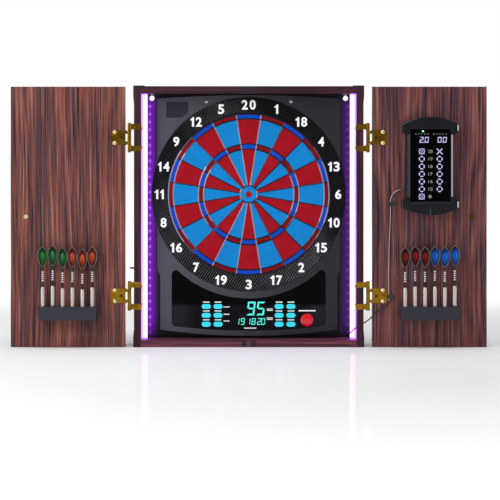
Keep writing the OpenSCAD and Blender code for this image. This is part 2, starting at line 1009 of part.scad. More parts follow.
module bullseye() {
    color(bright_red)
        turned_y(0, target_z, [
            [0, segment_y], [bull_in_r - 0.6, segment_y], [bull_in_r, segment_y + 0.6],
            [bull_in_r, segment_back_y], [0, segment_back_y]
        ]);
}

// ---- Display, keys and sound ----

function key_x(col, side) = side < 0 ? left_key_xs[col] : right_key_xs[col];
function key_z(row) = key_top_z - row * key_row_pitch;

// A pill outline grown by a margin
module pill(x, z, grow) {
    r = key_h / 2 + grow;
    half_run = (key_w - key_h) / 2;
    for (dx = [-half_run, half_run])
        translate([x + dx, z]) circle(r = r, $fn = 48);
    translate([x - half_run, z - r]) square([2 * half_run, 2 * r]);
}

module display_window() {
    color("#0a0a0c")
        difference() {
            plate(window_y, shell_y + wall_t) window_outline(0);
            for (side = [-1, 1])
                for (col = [0, 1])
                    for (row = [0 : KEY_ROWS - 1])
                        plate(window_y - 1, window_y + 5) pill(key_x(col, side), key_z(row), key_clearance);
            rod_y(button_x, button_z, window_y - 1, window_y + 5, button_d / 2 + key_clearance);
        }
}

// Keys are numbered down each column, starting at the one on the left
module key(side, number) {
    x = key_x(floor((number - 1) / KEY_ROWS), side);
    z = key_z((number - 1) % KEY_ROWS);
    flange_y = window_y + window_t + 0.4;
    color(key_blue) {
        plate(window_y - key_stand, flange_y + 0.1) pill(x, z, 0);
        plate(flange_y, flange_y + key_flange_t) pill(x, z, key_flange);
    }
}

module player_button() {
    r = button_d / 2;
    flange_y = window_y + window_t + 0.4;
    color("#d01818")
        turned_y(button_x, button_z, [
            [0, window_y - button_stand], [r * 0.4, window_y - button_stand + 0.3],
            [r * 0.7, window_y - button_stand + 1.1], [r * 0.9, window_y - button_stand + 2.2],
            [r, window_y - button_stand + 3.6], [r, flange_y], [r + 2, flange_y],
            [r + 2, flange_y + 1.2], [0, flange_y + 1.2]
        ]);
}

// The circuit board with its display block in front and its speaker behind
module display_board() {
    speaker_y = board_y + board_pcb_t - 0.1;
    block_low = [-52, window_y + window_t + 0.3, 40];
    block_high = [50, board_y + 0.1, 94.5];
    color("#14502c") {
        slab([-145, board_y, 44], [145, board_y + board_pcb_t, 104]);
        slab(block_low, block_high);
        turned_y(108, 74, [
            [0, speaker_y], [24, speaker_y], [24, speaker_y + 2], [14, speaker_y + 7],
            [14, speaker_y + 12], [0, speaker_y + 12]
        ]);
    }
}

module left_key_1() { key(-1, 1); }
module left_key_2() { key(-1, 2); }
module left_key_3() { key(-1, 3); }
module left_key_4() { key(-1, 4); }
module left_key_5() { key(-1, 5); }
module left_key_6() { key(-1, 6); }
module right_key_1() { key(1, 1); }
module right_key_2() { key(1, 2); }
module right_key_3() { key(1, 3); }
module right_key_4() { key(1, 4); }
module right_key_5() { key(1, 5); }
module right_key_6() { key(1, 6); }

// ---- Scoreboard on the right door ----

module score_cap(up) {
    half_w = score_w / 2;
    half_h = score_h / 2;
    ear_z = half_h - score_cap_h;
    translate([score_x, score_z + half_h])
        mirror([0, up ? 0 : 1])
            intersection() {
                translate([0, half_h - score_cap_arc_r]) circle(r = score_cap_arc_r, $fn = 180);
                polygon([
                    [-half_w, ear_z], [-half_w, half_h], [half_w, half_h], [half_w, ear_z],
                    [score_body_w / 2, ear_z - score_cap_slope], [-score_body_w / 2, ear_z - score_cap_slope]
                ]);
            }
}

module score_body_outline(margin) {
    body_low_z = score_z + score_cap_h - 6;
    body_high_z = score_z + score_h - score_cap_h + 6;
    translate([score_x - score_body_w / 2 + margin, body_low_z])
        square([score_body_w - 2 * margin, body_high_z - body_low_z]);
}

module scoreboard_housing() {
    outer_y = front_y - score_t;
    groove_w = 1.6;
    groove_h = 12;
    window_low = [score_x - score_window_w / 2, score_window_z];
    color(black)
        difference() {
            union() {
                plate(outer_y, front_y) {
                    score_cap(true);
                    score_cap(false);
                }
                plate(outer_y, front_y) score_body_outline(0);
            }
            plate(outer_y + score_wall, front_y + 1) score_body_outline(score_wall);
            plate(outer_y - 1, outer_y + score_wall + 1)
                translate(window_low - [score_window_fit, score_window_fit])
                    square([score_window_w + 2 * score_window_fit, score_window_h + 2 * score_window_fit]);
            for (z = [score_z + 1, score_z + score_h - 1 - groove_h])
                slab([score_x - groove_w / 2, outer_y - 1, z], [score_x + groove_w / 2, outer_y + 1.2, z + groove_h]);
            rod_x(-45, 331, score_x - score_body_w / 2 - 1, score_x - score_body_w / 2 + score_wall + 1, lead_d / 2 + 0.2);
        }
}

module scoreboard_display() {
    outer_y = front_y - score_t;
    block_margin = 2;
    color("#0c0c10") {
        slab([score_x - score_window_w / 2, outer_y + 0.4, score_window_z],
            [score_x + score_window_w / 2, outer_y + score_wall + 0.4, score_window_z + score_window_h]);
        slab([score_x - score_window_w / 2 - block_margin, outer_y + score_wall + 0.3, score_window_z - block_margin],
            [score_x + score_window_w / 2 + block_margin, outer_y + 8, score_window_z + score_window_h + block_margin]);
    }
}

module cable_clips() {
    color(black)
        for (i = [0, 1])
            difference() {
                slab([clip_xs[i] - 3, front_y - clip_t, clip_zs[i] - clip_h / 2],
                    [clip_xs[i] - 3 + clip_w, front_y, clip_zs[i] + clip_h / 2]);
                translate([clip_xs[i], lead_y, clip_zs[i] - clip_h])
                    cylinder(h = 2 * clip_h, r = lead_d / 2 + 0.3);
            }
}

module scoreboard_cable() {
    color(black) lead(door_lead_route, lead_d, 4, [1, 0.4, -1]);
}

module cable_crossing() {
    color(black) lead(crossing_route, lead_d, 3, [1, 0.4, -1]);
}

// ---- Power lead ----

module power_cord() {
    color(black) {
        lead(power_route, power_d, 3, [1, 1, 1]);
        lead(tail_route, power_d, 2, [1, 1, 3]);
    }
}

module power_cord_coil() {
    color(black)
        translate([coil_x, coil_y, 0])
            rotate_extrude()
                translate([coil_mean_r - coil_half_t, 0])
                    square([2 * coil_half_t, coil_h]);
}

module power_adapter() {
    prong_w = 6;
    prong_t = 1.6;
    end_x = adapter_x + adapter_l;
    color(black) {
        slab([adapter_x, adapter_y - adapter_w / 2, 0], [end_x, adapter_y + adapter_w / 2, adapter_h]);
        rod_x(adapter_y, tail_route[len(tail_route) - 1][2], adapter_x - relief_l, adapter_x + 0.1, relief_r);
        for (dy = [-6.35, 6.35])
            slab([end_x - 0.1, adapter_y + dy - prong_t / 2, adapter_h / 2 - prong_w / 2],
                [end_x + prong_l, adapter_y + dy + prong_t / 2, adapter_h / 2 + prong_w / 2]);
    }
}

top_board();
bottom_board();
left_side_board();
right_side_board();
back_panel();
corner_protectors();
cabinet_screws();
catch_magnets();
led_channels();
led_tubes();
hinge_cabinet_leaves();
hinge_pins();
rear_shell();
front_shell();
catch_ring();
spider();
sensor_mat();
display_board();
display_window();
red_singles();
blue_singles();
red_ring_segments();
blue_ring_segments();
outer_bull();
bullseye();
left_key_1();
left_key_2();
left_key_3();
left_key_4();
left_key_5();
left_key_6();
right_key_1();
right_key_2();
right_key_3();
right_key_4();
right_key_5();
right_key_6();
player_button();
left_door();
left_door_hinge_leaves();
left_door_screws();
left_knob();
left_dart_holder();
green_darts();
amber_darts();
right_door();
right_door_hinge_leaves();
right_door_screws();
right_knob();
right_dart_holder();
red_darts();
blue_darts();
scoreboard_housing();
scoreboard_display();
cable_clips();
scoreboard_cable();
cable_crossing();
power_cord();
power_cord_coil();
power_adapter();
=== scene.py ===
"""Looks of an electronic dartboard in its open wooden cabinet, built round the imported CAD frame.

X runs right, -Y is the front, Z is up. The camera, lights and shaders are in metres. Shapes, routes and the
places and sizes named in capitals are in millimetres.
"""
import math

import bpy
import numpy as np
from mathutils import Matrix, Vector


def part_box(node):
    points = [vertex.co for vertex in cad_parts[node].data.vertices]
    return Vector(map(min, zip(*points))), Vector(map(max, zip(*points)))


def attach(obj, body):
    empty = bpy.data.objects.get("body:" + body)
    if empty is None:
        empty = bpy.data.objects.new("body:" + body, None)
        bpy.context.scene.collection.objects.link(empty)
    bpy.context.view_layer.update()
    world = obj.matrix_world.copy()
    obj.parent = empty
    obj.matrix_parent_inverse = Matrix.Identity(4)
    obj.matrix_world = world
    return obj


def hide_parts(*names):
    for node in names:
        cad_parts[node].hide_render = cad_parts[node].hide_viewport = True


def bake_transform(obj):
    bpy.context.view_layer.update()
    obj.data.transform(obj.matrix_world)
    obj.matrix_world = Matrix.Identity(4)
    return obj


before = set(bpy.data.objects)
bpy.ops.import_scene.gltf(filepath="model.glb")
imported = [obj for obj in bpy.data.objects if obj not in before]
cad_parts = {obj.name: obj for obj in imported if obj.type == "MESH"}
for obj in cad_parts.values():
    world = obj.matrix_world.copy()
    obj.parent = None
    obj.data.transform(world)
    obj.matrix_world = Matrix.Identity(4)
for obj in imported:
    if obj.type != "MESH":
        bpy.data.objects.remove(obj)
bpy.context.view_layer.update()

MM = 0.001


def front_of(node):
    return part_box(node)[0].y / MM


def middle_of(node):
    node_low, node_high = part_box(node)
    return (node_low + node_high) / 2 / MM


FRONT_Y = front_of("top_board")
PANEL_Y = front_of("back_panel")
CATCH_Y = front_of("catch_ring")
WEB_Y = front_of("spider")
WINDOW_Y = front_of("display_window")
TARGET = middle_of("bullseye")
SCOREBOARD_X = middle_of("scoreboard_housing").x
DART_RACK_X = middle_of("right_dart_holder").x
DIODE_PITCH = 16.67


# ---- Camera, floor and light ----

def make_camera():
    """A level view from the front, picture_w wide at the cabinet's front and with middle_z halfway up."""
    picture_w = 1.0495
    distance = 3.7
    side = 0.0027
    height = 0.36
    middle_z = 0.2041
    data = bpy.data.cameras.new("camera")
    data.sensor_width = 36
    data.lens = 36 * distance / picture_w
    data.shift_y = (middle_z - height) / picture_w
    data.clip_end = 60
    camera = bpy.data.objects.new("camera", data)
    camera.location = (side, FRONT_Y * MM - distance, height)
    camera.rotation_euler = (math.pi / 2, 0, 0)
    bpy.context.scene.collection.objects.link(camera)
    bpy.context.scene.camera = camera


def area_light(name, place, target, size, power, tint=(1, 1, 1)):
    data = bpy.data.lights.new(name, "AREA")
    data.shape = "DISK"
    data.size = size
    data.energy = power
    data.color = tint
    light = bpy.data.objects.new(name, data)
    light.location = place
    light.rotation_euler = (Vector(target) - Vector(place)).to_track_quat("-Z", "Y").to_euler()
    bpy.context.scene.collection.objects.link(light)


def make_light():
    """A white room, dimmer as a source of light than it looks, and five soft lamps."""
    world = bpy.data.worlds.new("studio")
    bpy.context.scene.world = world
    world.use_nodes = True
    tree = world.node_tree
    background = tree.nodes["Background"]
    background.inputs["Color"].default_value = (1, 1, 1, 1)
    path = tree.nodes.new("ShaderNodeLightPath")
    level = tree.nodes.new("ShaderNodeMapRange")
    level.inputs["To Min"].default_value = 0.26
    level.inputs["To Max"].default_value = 1.0
    tree.links.new(path.outputs["Is Camera Ray"], level.inputs["Value"])
    tree.links.new(level.outputs["Result"], background.inputs["Strength"])
    area_light("overhead", (0, -0.5, 3.6), (0, -0.2, 0), 3.0, 70)
    area_light("key", (-1.5, -1.5, 1.25), (0, 0, 0.3), 0.7, 17)
    area_light("left", (-3.0, -0.8, 0.9), (0, 0, 0.3), 1.0, 12)
    area_light("right", (3.0, -0.8, 0.8), (0, 0, 0.3), 1.0, 10)
    area_light("back", (0, 3.4, 1.6), (0, 0, 0.3), 2.0, 30)


# ---- Materials ----

def rgb(code):
    """Linear colour of an sRGB hex code."""
    values = [int(code[i : i + 2], 16) / 255 for i in (1, 3, 5)]
    return tuple(v / 12.92 if v <= 0.04045 else ((v + 0.055) / 1.055) ** 2.4 for v in values) + (1,)


class Shader:
    """A Principled material under construction."""

    def __init__(self, name, **values):
        self.material = bpy.data.materials.new(name)
        self.material.use_nodes = True
        self.tree = self.material.node_tree
        self.surface = self.tree.nodes["Principled BSDF"]
        self.set(**values)
        self.place = self.node("TexCoord").outputs["Object"]

    def set(self, **values):
        for key, value in values.items():
            self.put(self.surface.inputs[key.replace("_", " ")], value)

    def put(self, socket, value):
        if isinstance(value, bpy.types.NodeSocket):
            self.tree.links.new(value, socket)
        else:
            socket.default_value = value

    def node(self, kind, inputs=(), **settings):
        made = self.tree.nodes.new("ShaderNode" + kind)
        for key, value in settings.items():
            setattr(made, key, value)
        for index, value in enumerate(inputs):
            if value is not None:
                self.put(made.inputs[index], value)
        return made

    def math(self, operation, a, b=None, c=None):
        return self.node("Math", (a, b, c), operation=operation).outputs[0]

    def vector(self, operation, a, b=None):
        made = self.node("VectorMath", (a, b), operation=operation)
        return made.outputs["Value" if operation in ("LENGTH", "DOT_PRODUCT") else "Vector"]

    def plus(self, total, value, share, middle=0.0):
        """total, plus a share of how far value is from its middle."""
        if middle:
            value = self.math("SUBTRACT", value, middle)
        return self.math("ADD", total, self.math("MULTIPLY", value, share))

    def part(self, axis):
        """One of the place's three coordinates."""
        return self.node("SeparateXYZ", (self.place,)).outputs[axis]

    def scaled(self, factors, shift=(0, 0, 0)):
        moved = self.vector("ADD", self.place, shift)
        return self.vector("MULTIPLY", moved, factors)

    def noise(self, where, scale, detail=2.0, rough=0.5):
        made = self.node("TexNoise")
        self.put(made.inputs["Vector"], where)
        made.inputs["Scale"].default_value = scale
        made.inputs["Detail"].default_value = detail
        made.inputs["Roughness"].default_value = rough
        return made.outputs[0]

    def fit(self, value, low, high, new_low=0.0, new_high=1.0, smooth=False):
        """value, whose range from low to high becomes new_low to new_high."""
        made = self.node("MapRange", (value, low, high, new_low, new_high),
                         interpolation_type="SMOOTHSTEP" if smooth else "LINEAR")
        return made.outputs["Result"]

    def ramp(self, value, stops):
        made = self.node("ValToRGB", (value,))
        points = made.color_ramp.elements
        while len(points) < len(stops):
            points.new(1.0)
        for point, (at, colour) in zip(points, stops):
            point.position = at
            point.color = colour
        return made.outputs["Color"]

    def mix(self, share, a, b, how="MIX"):
        made = self.node("Mix", data_type="RGBA", blend_type=how)
        for index, value in ((0, share), (6, a), (7, b)):
            self.put(made.inputs[index], value)
        return made.outputs[2]

    def bump(self, height, distance, strength=1.0):
        made = self.node("Bump")
        made.inputs["Strength"].default_value = strength
        made.inputs["Distance"].default_value = distance
        self.put(made.inputs["Height"], height)
        self.set(Normal=made.outputs["Normal"])


def wood(name, along, seed, tones, rough=0.4, glow=None):
    """Dark red-brown woodgrain whose fibres run along one axis, 0 for X or 2 for Z.

    tones are four from dark to pale, then a violet cast and a pale fibre. glow is the X of an inner face
    that a light tube washes with lilac; that wash is painted light, a glow in the wood's own emission."""
    *grain, violet_cast, pale_fibre = tones
    s = Shader(name, IOR=1.32)

    def stretched(factor):
        factors = [1.0, 1.0, 1.0]
        factors[along] = factor
        return s.scaled(factors, (seed, seed * 0.7, seed * 1.3))

    sway = s.math("SUBTRACT", s.noise(stretched(0.35), 5, 2, 0.5), 0.5)
    bend = s.node("CombineXYZ", (s.math("MULTIPLY", sway, 0.03),)).outputs[0]

    def layer(factor, scale, detail=2, rough_share=0.55):
        return s.noise(s.vector("ADD", stretched(factor), bend), scale, detail, rough_share)

    bands = layer(0.07, 26)
    streaks = layer(0.03, 120, 3, 0.6)
    threads = layer(0.02, 330, 2, 0.6)
    fine_threads = layer(0.012, 560)
    fibres = layer(0.012, 900, 2, 0.6)
    arches = s.math("SINE", s.math("MULTIPLY", layer(0.10, 9, 1, 0.4), 110.0))
    tone = s.plus(s.math("MULTIPLY", bands, 0.5), streaks, 0.55)
    tone = s.plus(tone, threads, 1.15, 0.5)
    tone = s.plus(tone, fine_threads, 0.7, 0.5)
    tone = s.plus(tone, arches, 0.04)
    colour = s.ramp(tone, list(zip((0.30, 0.45, 0.60, 0.80), grain)))
    violet = s.fit(layer(0.05, 60), 0.5, 0.66)
    colour = s.mix(s.math("MULTIPLY", violet, 0.5), colour, violet_cast)
    pale = s.fit(layer(0.015, 260, 1, 0.4), 0.64, 0.74)
    colour = s.mix(s.math("MULTIPLY", pale, 0.3), colour, pale_fibre)
    pores = s.fit(layer(0.012, 1300, 1, 0.4), 0.60, 0.72)
    colour = s.mix(s.math("MULTIPLY", pores, 0.5), colour, rgb("#1c1012"))
    s.set(Base_Color=colour, Roughness=s.fit(fibres, 0.3, 0.7, rough - 0.08, rough + 0.12))
    height = s.math("SUBTRACT", s.math("MULTIPLY", fibres, 0.6), pores)
    s.bump(height, 0.00016, 0.7)
    if glow:
        # Painted light: the wood's own emission draws the light tube's lilac wash on the inner face.
        front_edge = FRONT_Y * MM
        inward = s.fit(s.math("ABSOLUTE", s.part(0)), glow + 0.0006, glow + 0.0002)
        behind = s.fit(s.part(1), front_edge + 0.0007, front_edge + 0.0075)
        s.set(Emission_Color=rgb("#b98cf0"), Emission_Strength=s.math("MULTIPLY", inward, behind))
    return s.material


def plastic(name, colour, rough=0.4, grain=0.00006, grain_scale=1800, tint=0.12, **values):
    """Moulded plastic with a fine texture and slightly uneven gloss.

    grain is the texture's depth, and tint is how much darker the colour is in patches."""
    s = Shader(name, **values)
    fine = s.noise(s.place, grain_scale, 2, 0.5)
    broad = s.noise(s.place, 14, 3, 0.6)
    base = rgb(colour)
    dark = tuple(v * (1 - tint) for v in base[:3]) + (1,)
    s.set(Base_Color=s.mix(broad, dark, base), Roughness=s.fit(broad, 0.3, 0.7, rough - 0.05, rough + 0.07))
    s.bump(fine, grain)
    return s.material


def metal(name, colour, rough=0.3, brushed=None, tarnish=None):
    """Metal with fine wear, drawn out along brushed's small factors, and patches of tarnish."""
    s = Shader(name, Metallic=1.0)
    where = s.place if brushed is None else s.scaled(brushed)
    lines = s.noise(where, 500, 2, 0.6)
    broad = s.noise(s.place, 70, 3, 0.6)
    base = rgb(colour)
    if tarnish:
        base = s.mix(s.fit(broad, 0.45, 0.75), base, rgb(tarnish))
    s.set(Base_Color=base, Roughness=s.fit(lines, 0.25, 0.75, rough - 0.08, rough + 0.14))
    s.bump(lines, 0.00004)
    return s.material


def drilled(name, colour, worn_share):
    """A target segment's face, with a hexagonal grid of small round holes whose darkness is painted shade.

    worn_share is how much of the colour's brightness its worn patches keep."""
    pitch = 0.0031
    row = math.sqrt(3)
    s = Shader(name, IOR=1.25)
    above_zero = 100.0
    grid = s.vector("MULTIPLY", s.place, (1 / pitch, 0, 1 / pitch / row))
    near = []
    for shift in (above_zero, above_zero + 0.5):
        cell = s.vector("FRACTION", s.vector("ADD", grid, (shift, 0, shift)))
        off = s.vector("MULTIPLY", s.vector("SUBTRACT", cell, (0.5, 0, 0.5)), (1, 0, row))
        near.append(s.vector("LENGTH", off))
    distance = s.math("MINIMUM", near[0], near[1])
    face = s.fit(distance, 0.22, 0.31, smooth=True)
    wear = s.noise(s.place, 45, 4, 0.6)
    base = rgb(colour)
    worn = tuple(v * worn_share for v in base[:3]) + (1,)
    body = s.mix(s.fit(wear, 0.35, 0.7), base, worn)
    # Painted shade: the holes are darkened in the colour, as shade in the recesses.
    hole_shade = tuple(v * 0.18 for v in base[:3]) + (1,)
    s.set(Base_Color=s.mix(face, hole_shade, body), Roughness=s.fit(wear, 0.3, 0.7, 0.36, 0.5))
    s.bump(face, 0.0007)
    return s.material


def glowing(name, colour, strength, base="#101010"):
    """A lit surface of slightly uneven brightness."""
    s = Shader(name, Base_Color=rgb(base), Roughness=0.4)
    ripple = s.noise(s.place, 900, 1, 0.5)
    s.set(Emission_Color=rgb(colour),
          Emission_Strength=s.fit(ripple, 0.2, 0.8, strength * 0.92, strength * 1.06))
    return s.material


def woven_ring():
    """Black plastic with two crossing sets of fine pale diagonal lines, as of woven carbon.

    Each set is strongest over its own part of the ring, and both fade toward the upper right; that change
    over the ring is a painted sheen, as under a lamp at the left."""
    s = Shader("ring_weave_sheen", IOR=1.1)
    pitch = 0.0048
    steep = math.radians(58)
    across, down = math.sin(steep) / pitch, math.cos(steep) / pitch
    above_zero = 400.0
    ring_r = 0.2
    sets = []
    for sign in (1, -1):
        along = s.vector("DOT_PRODUCT", s.place, (across, 0, -sign * down))
        wave = s.math("FRACT", s.math("ADD", along, above_zero))
        ridge = s.math("ABSOLUTE", s.math("SUBTRACT", wave, 0.5))
        sets.append(s.fit(ridge, 0.35, 0.42))
    off = s.vector("SUBTRACT", s.place, tuple(TARGET * MM))
    right = s.vector("DOT_PRODUCT", off, (1 / ring_r, 0, 0))
    up = s.vector("DOT_PRODUCT", off, (0, 0, 1 / ring_r))
    # Painted sheen: where each set of lines shows, and their fade toward the upper right, follow a lamp at
    # the left.
    rising_sheen = s.fit(s.plus(up, right, -0.6), 1.0, 0.2, 0.25, 1.0)
    falling_sheen = s.fit(s.plus(right, up, 0.5), -0.5, 0.15, 0.1, 0.9)
    line = s.math("MAXIMUM", s.math("MULTIPLY", sets[0], rising_sheen), s.math("MULTIPLY", sets[1], falling_sheen))
    patch = s.noise(s.place, 60, 3, 0.7)
    shown = s.fit(s.plus(right, up, 0.6), 0.3, 0.7, 1.0, 0.18)
    line = s.math("MULTIPLY", line, s.math("MULTIPLY", shown, s.fit(patch, 0.3, 0.7, 0.45, 1.0)))
    s.set(Base_Color=s.mix(line, rgb("#010102"), rgb("#76767b")), Roughness=s.fit(patch, 0.3, 0.7, 0.4, 0.55))
    return s.material


def lit_panel():
    """The black back panel. The violet wash on the strips beside the light tubes, in spots from their rows of
    diodes, is painted light: the panel's own emission.
    """
    diode_x, diode_half_w, diode_half_h = 0.2115, 0.0050, 0.0055
    wash_from, wash_full = 0.190, 0.216
    pitch = DIODE_PITCH * MM
    face_y = PANEL_Y * MM
    s = Shader("panel_black", IOR=1.45)
    side = s.math("ABSOLUTE", s.part(0))
    height = s.part(2)
    wash = s.fit(side, wash_from, wash_full, smooth=True)
    row = s.math("FRACT", s.math("DIVIDE", height, pitch))
    across = s.math("MULTIPLY", s.math("SUBTRACT", side, diode_x), 1 / diode_half_w)
    up = s.math("MULTIPLY", s.math("SUBTRACT", row, 0.5), pitch / diode_half_h)
    spot = s.vector("LENGTH", s.node("CombineXYZ", (across, up)).outputs[0])
    spot_glow = s.fit(spot, 1.0, 0.2, smooth=True)
    inside = s.math("MULTIPLY", s.fit(height, 0.012, 0.05), s.fit(height, 0.536, 0.51))
    inside = s.math("MULTIPLY", inside, s.fit(s.part(1), face_y + 0.001, face_y + 0.0004))
    # The painted glow is stronger on the left side than on the right.
    wash_share = s.fit(s.part(0), -0.1, 0.1, 1.0, 0.30)
    spot_glow_share = s.math("MULTIPLY", s.fit(s.part(0), -0.1, 0.1, 1.0, 0.25), 0.7)
    level = s.math("ADD", s.math("MULTIPLY", wash, wash_share), s.math("MULTIPLY", spot_glow, spot_glow_share))
    level = s.math("MULTIPLY", level, inside)
    colour = s.mix(spot_glow, rgb("#8a1cd4"), rgb("#b048f8"))
    s.set(Base_Color=rgb("#0a0a0d"), Roughness=0.5, Emission_Color=colour,
          Emission_Strength=s.math("MULTIPLY", level, 0.72))
    s.bump(s.noise(s.place, 700, 2, 0.5), 0.00012)
    return s.material


def window_gloss():
    """Smoked window, black above, with a painted grey reflection over its lower part and its two ends."""
    s = Shader("window_gloss", IOR=1.13)
    across = s.math("ABSOLUTE", s.part(0))
    height = s.plus(s.part(2), s.noise(s.place, 8, 2, 0.5), 0.004)
    # Painted reflection: the lower part and the two ends are mixed toward grey.
    low = s.math("MULTIPLY", s.fit(height, 0.092, 0.082, smooth=True), s.fit(across, 0.115, 0.14, 0.3, 1.0))
    s.set(Base_Color=s.mix(low, rgb("#010101"), rgb("#26262e")),
          Roughness=s.fit(s.noise(s.place, 40, 3, 0.6), 0.3, 0.7, 0.08, 0.13))
    return s.material


def shell_gloss():
    """Satin graphite moulding, paler toward its left side: painted light, as under a lamp at the left."""
    s = Shader("shell_graphite", IOR=1.35)
    grain = s.noise(s.place, 2200, 2, 0.5)
    # Painted light: the colour grows paler toward the left.
    base = s.mix(s.fit(s.part(0), -0.17, 0.10), rgb("#54535e"), rgb("#2a2930"))
    s.set(Base_Color=base, Roughness=s.fit(grain, 0.3, 0.7, 0.3, 0.4))
    s.bump(grain, 0.00005)
    return s.material


def button_gloss():
    """Glossy red dome, with painted shade deepening its colour toward the rim and a faint painted glow in its
    middle.
    """
    s = Shader("button_red", IOR=1.4, Coat_Weight=0.8, Coat_Roughness=0.05, Emission_Color=rgb("#ff0014"))
    facing = s.node("LayerWeight", (0.5,)).outputs["Facing"]
    # rim is painted shade toward the dome's edge; it also fades the painted glow there.
    rim = s.fit(facing, 0.25, 0.75, smooth=True)
    s.set(Base_Color=s.mix(rim, rgb("#e8081a"), rgb("#90000c")),
          Emission_Strength=s.fit(rim, 0.0, 1.0, 0.10, 0.01),
          Roughness=s.fit(s.noise(s.place, 300, 2, 0.5), 0.3, 0.7, 0.14, 0.22))
    return s.material


def web_gloss(name, colour, metallic):
    """Polished moulded web."""
    s = Shader(name, IOR=1.3, Metallic=metallic, Coat_Weight=0.2, Coat_Roughness=0.15)
    wear = s.noise(s.place, 90, 3, 0.6)
    base = rgb(colour)
    s.set(Base_Color=s.mix(wear, tuple(v * 0.8 for v in base[:3]) + (1,), base),
          Roughness=s.fit(wear, 0.3, 0.7, 0.26, 0.38))
    return s.material


def screw_face(name, far_x, right_knob_x, bright, dull):
    """Door screws: bright beyond far_x from the middle, and dull nearer the hinge and at the right knob."""
    s = Shader(name, Metallic=0.85)
    away = s.fit(s.math("ABSOLUTE", s.part(0)), far_x, far_x + 0.001)
    shining = s.math("MULTIPLY", away, s.fit(s.part(0), right_knob_x, right_knob_x - 0.01))
    s.set(Base_Color=s.mix(shining, rgb(dull), rgb(bright)),
          Roughness=s.fit(s.noise(s.place, 400, 3, 0.6), 0.3, 0.7, 0.22, 0.36))
    return s.material


def lead_sheath():
    """Black sheath with a painted pale sheen on its side toward the hinge."""
    s = Shader("lead_sheath", IOR=1.45, Coat_Weight=0.5, Coat_Roughness=0.1)
    facing = s.node("SeparateXYZ", (s.node("TexCoord").outputs["Normal"],)).outputs[0]
    # Painted sheen: pale where the surface faces the hinge side.
    pale = s.fit(s.math("MULTIPLY", facing, -1.0), 0.1, 0.6, smooth=True)
    s.set(Base_Color=s.mix(pale, rgb("#0b0b0d"), rgb("#d4d0d4")),
          Roughness=s.fit(s.noise(s.place, 300, 2, 0.5), 0.3, 0.7, 0.25, 0.4))
    return s.material


# ---- Geometry helpers ----

class Shape:
    """Vertices and faces in millimetres, gathered into one object. A look is an index into its materials."""

    def __init__(self):
        self.points, self.faces, self.looks, self.smooth = [], [], [], []

    def add(self, points, faces, look=0, smooth=False):
        start = len(self.points)
        self.points += [tuple(p) for p in points]
        self.faces += [[start + i for i in f] for f in faces]
        self.looks += [look] * len(faces)
        self.smooth += [smooth] * len(faces)

    def prism(self, outline, near_y, far_y, look=0):
        """A flat outline of X and Z, counterclockwise from the front, between two depths."""
        n = len(outline)
        points = [(x, near_y, z) for x, z in outline] + [(x, far_y, z) for x, z in outline]
        sides = [(i, i + n, (i + 1) % n + n, (i + 1) % n) for i in range(n)]
        self.add(points, [tuple(range(n)), tuple(range(2 * n - 1, n - 1, -1))] + sides, look)

    def bar(self, x0, z0, x1, z1, near_y, far_y, look=0):
        self.prism([(x0, z0), (x1, z0), (x1, z1), (x0, z1)], near_y, far_y, look)

    def rod(self, points, sides, look=0, smooth=True):
        """A skin over successive rings of points, with flat ends."""
        faces = []
        for low in range(0, len(points) - sides, sides):
            for k in range(sides):
                after = (k + 1) % sides
                faces.append((low + k, low + after, low + sides + after, low + sides + k))
        self.add(points, faces, look, smooth)
        self.add(points[:sides], [tuple(range(sides - 1, -1, -1))], look)
        self.add(points[-sides:], [tuple(range(sides))], look)

    def turned(self, profile, centre, axis="z", look=0, sides=32, smooth=True):
        """A shape turned round an axis through centre, from points of radius and height."""
        points = []
        for r, h in profile:
            for k in range(sides):
                a = 2 * math.pi * k / sides
                if axis == "z":
                    points.append((centre[0] + r * math.cos(a), centre[1] + r * math.sin(a), centre[2] + h))
                else:
                    points.append((centre[0] + r * math.cos(a), centre[1] + h, centre[2] - r * math.sin(a)))
        self.rod(points, sides, look, smooth)

    def object(self, name, body, slot, materials, *replaced):
        """The finished piece. body is None for a piece that is left without a body."""
        mesh = bpy.data.meshes.new(name)
        mesh.from_pydata([Vector(p) * MM for p in self.points], [], self.faces)
        for material in materials:
            mesh.materials.append(material)
        mesh.polygons.foreach_set("material_index", self.looks)
        mesh.polygons.foreach_set("use_smooth", self.smooth)
        mesh.update()
        made = bpy.data.objects.new(name, mesh)
        bpy.context.scene.collection.objects.link(made)
        if body:
            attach(made, body)
        if replaced:
            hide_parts(*replaced)
        return made


def spline(route, steps):
    """The points of a smooth curve through a route."""
    route = [Vector(p) for p in route]
    made = []
    for i in range(len(route) - 1):
        a, b = route[max(i - 1, 0)], route[i]
        c, d = route[i + 1], route[min(i + 2, len(route) - 1)]
        for k in range(steps):
            t = k / steps
            made.append(0.5 * (2 * b + (c - a) * t + (2 * a - 5 * b + 4 * c - d) * t * t
                               + (3 * b - a - 3 * c + d) * t ** 3))
    return made + [route[-1]]


def tube(shape, path, radius, sides=12, look=0):
    """A round tube along a path, without twist."""
    path = [Vector(p) for p in path]
    normal = None
    points = []
    for i, p in enumerate(path):
        along = (path[min(i + 1, len(path) - 1)] - path[max(i - 1, 0)]).normalized()
        if normal is None:
            normal = along.orthogonal().normalized()
        normal = (normal - along * normal.dot(along)).normalized()
        other = along.cross(normal)
        for k in range(sides):
            a = 2 * math.pi * k / sides
            points.append(p + radius * (math.cos(a) * normal + math.sin(a) * other))
    shape.rod(points, sides, look)


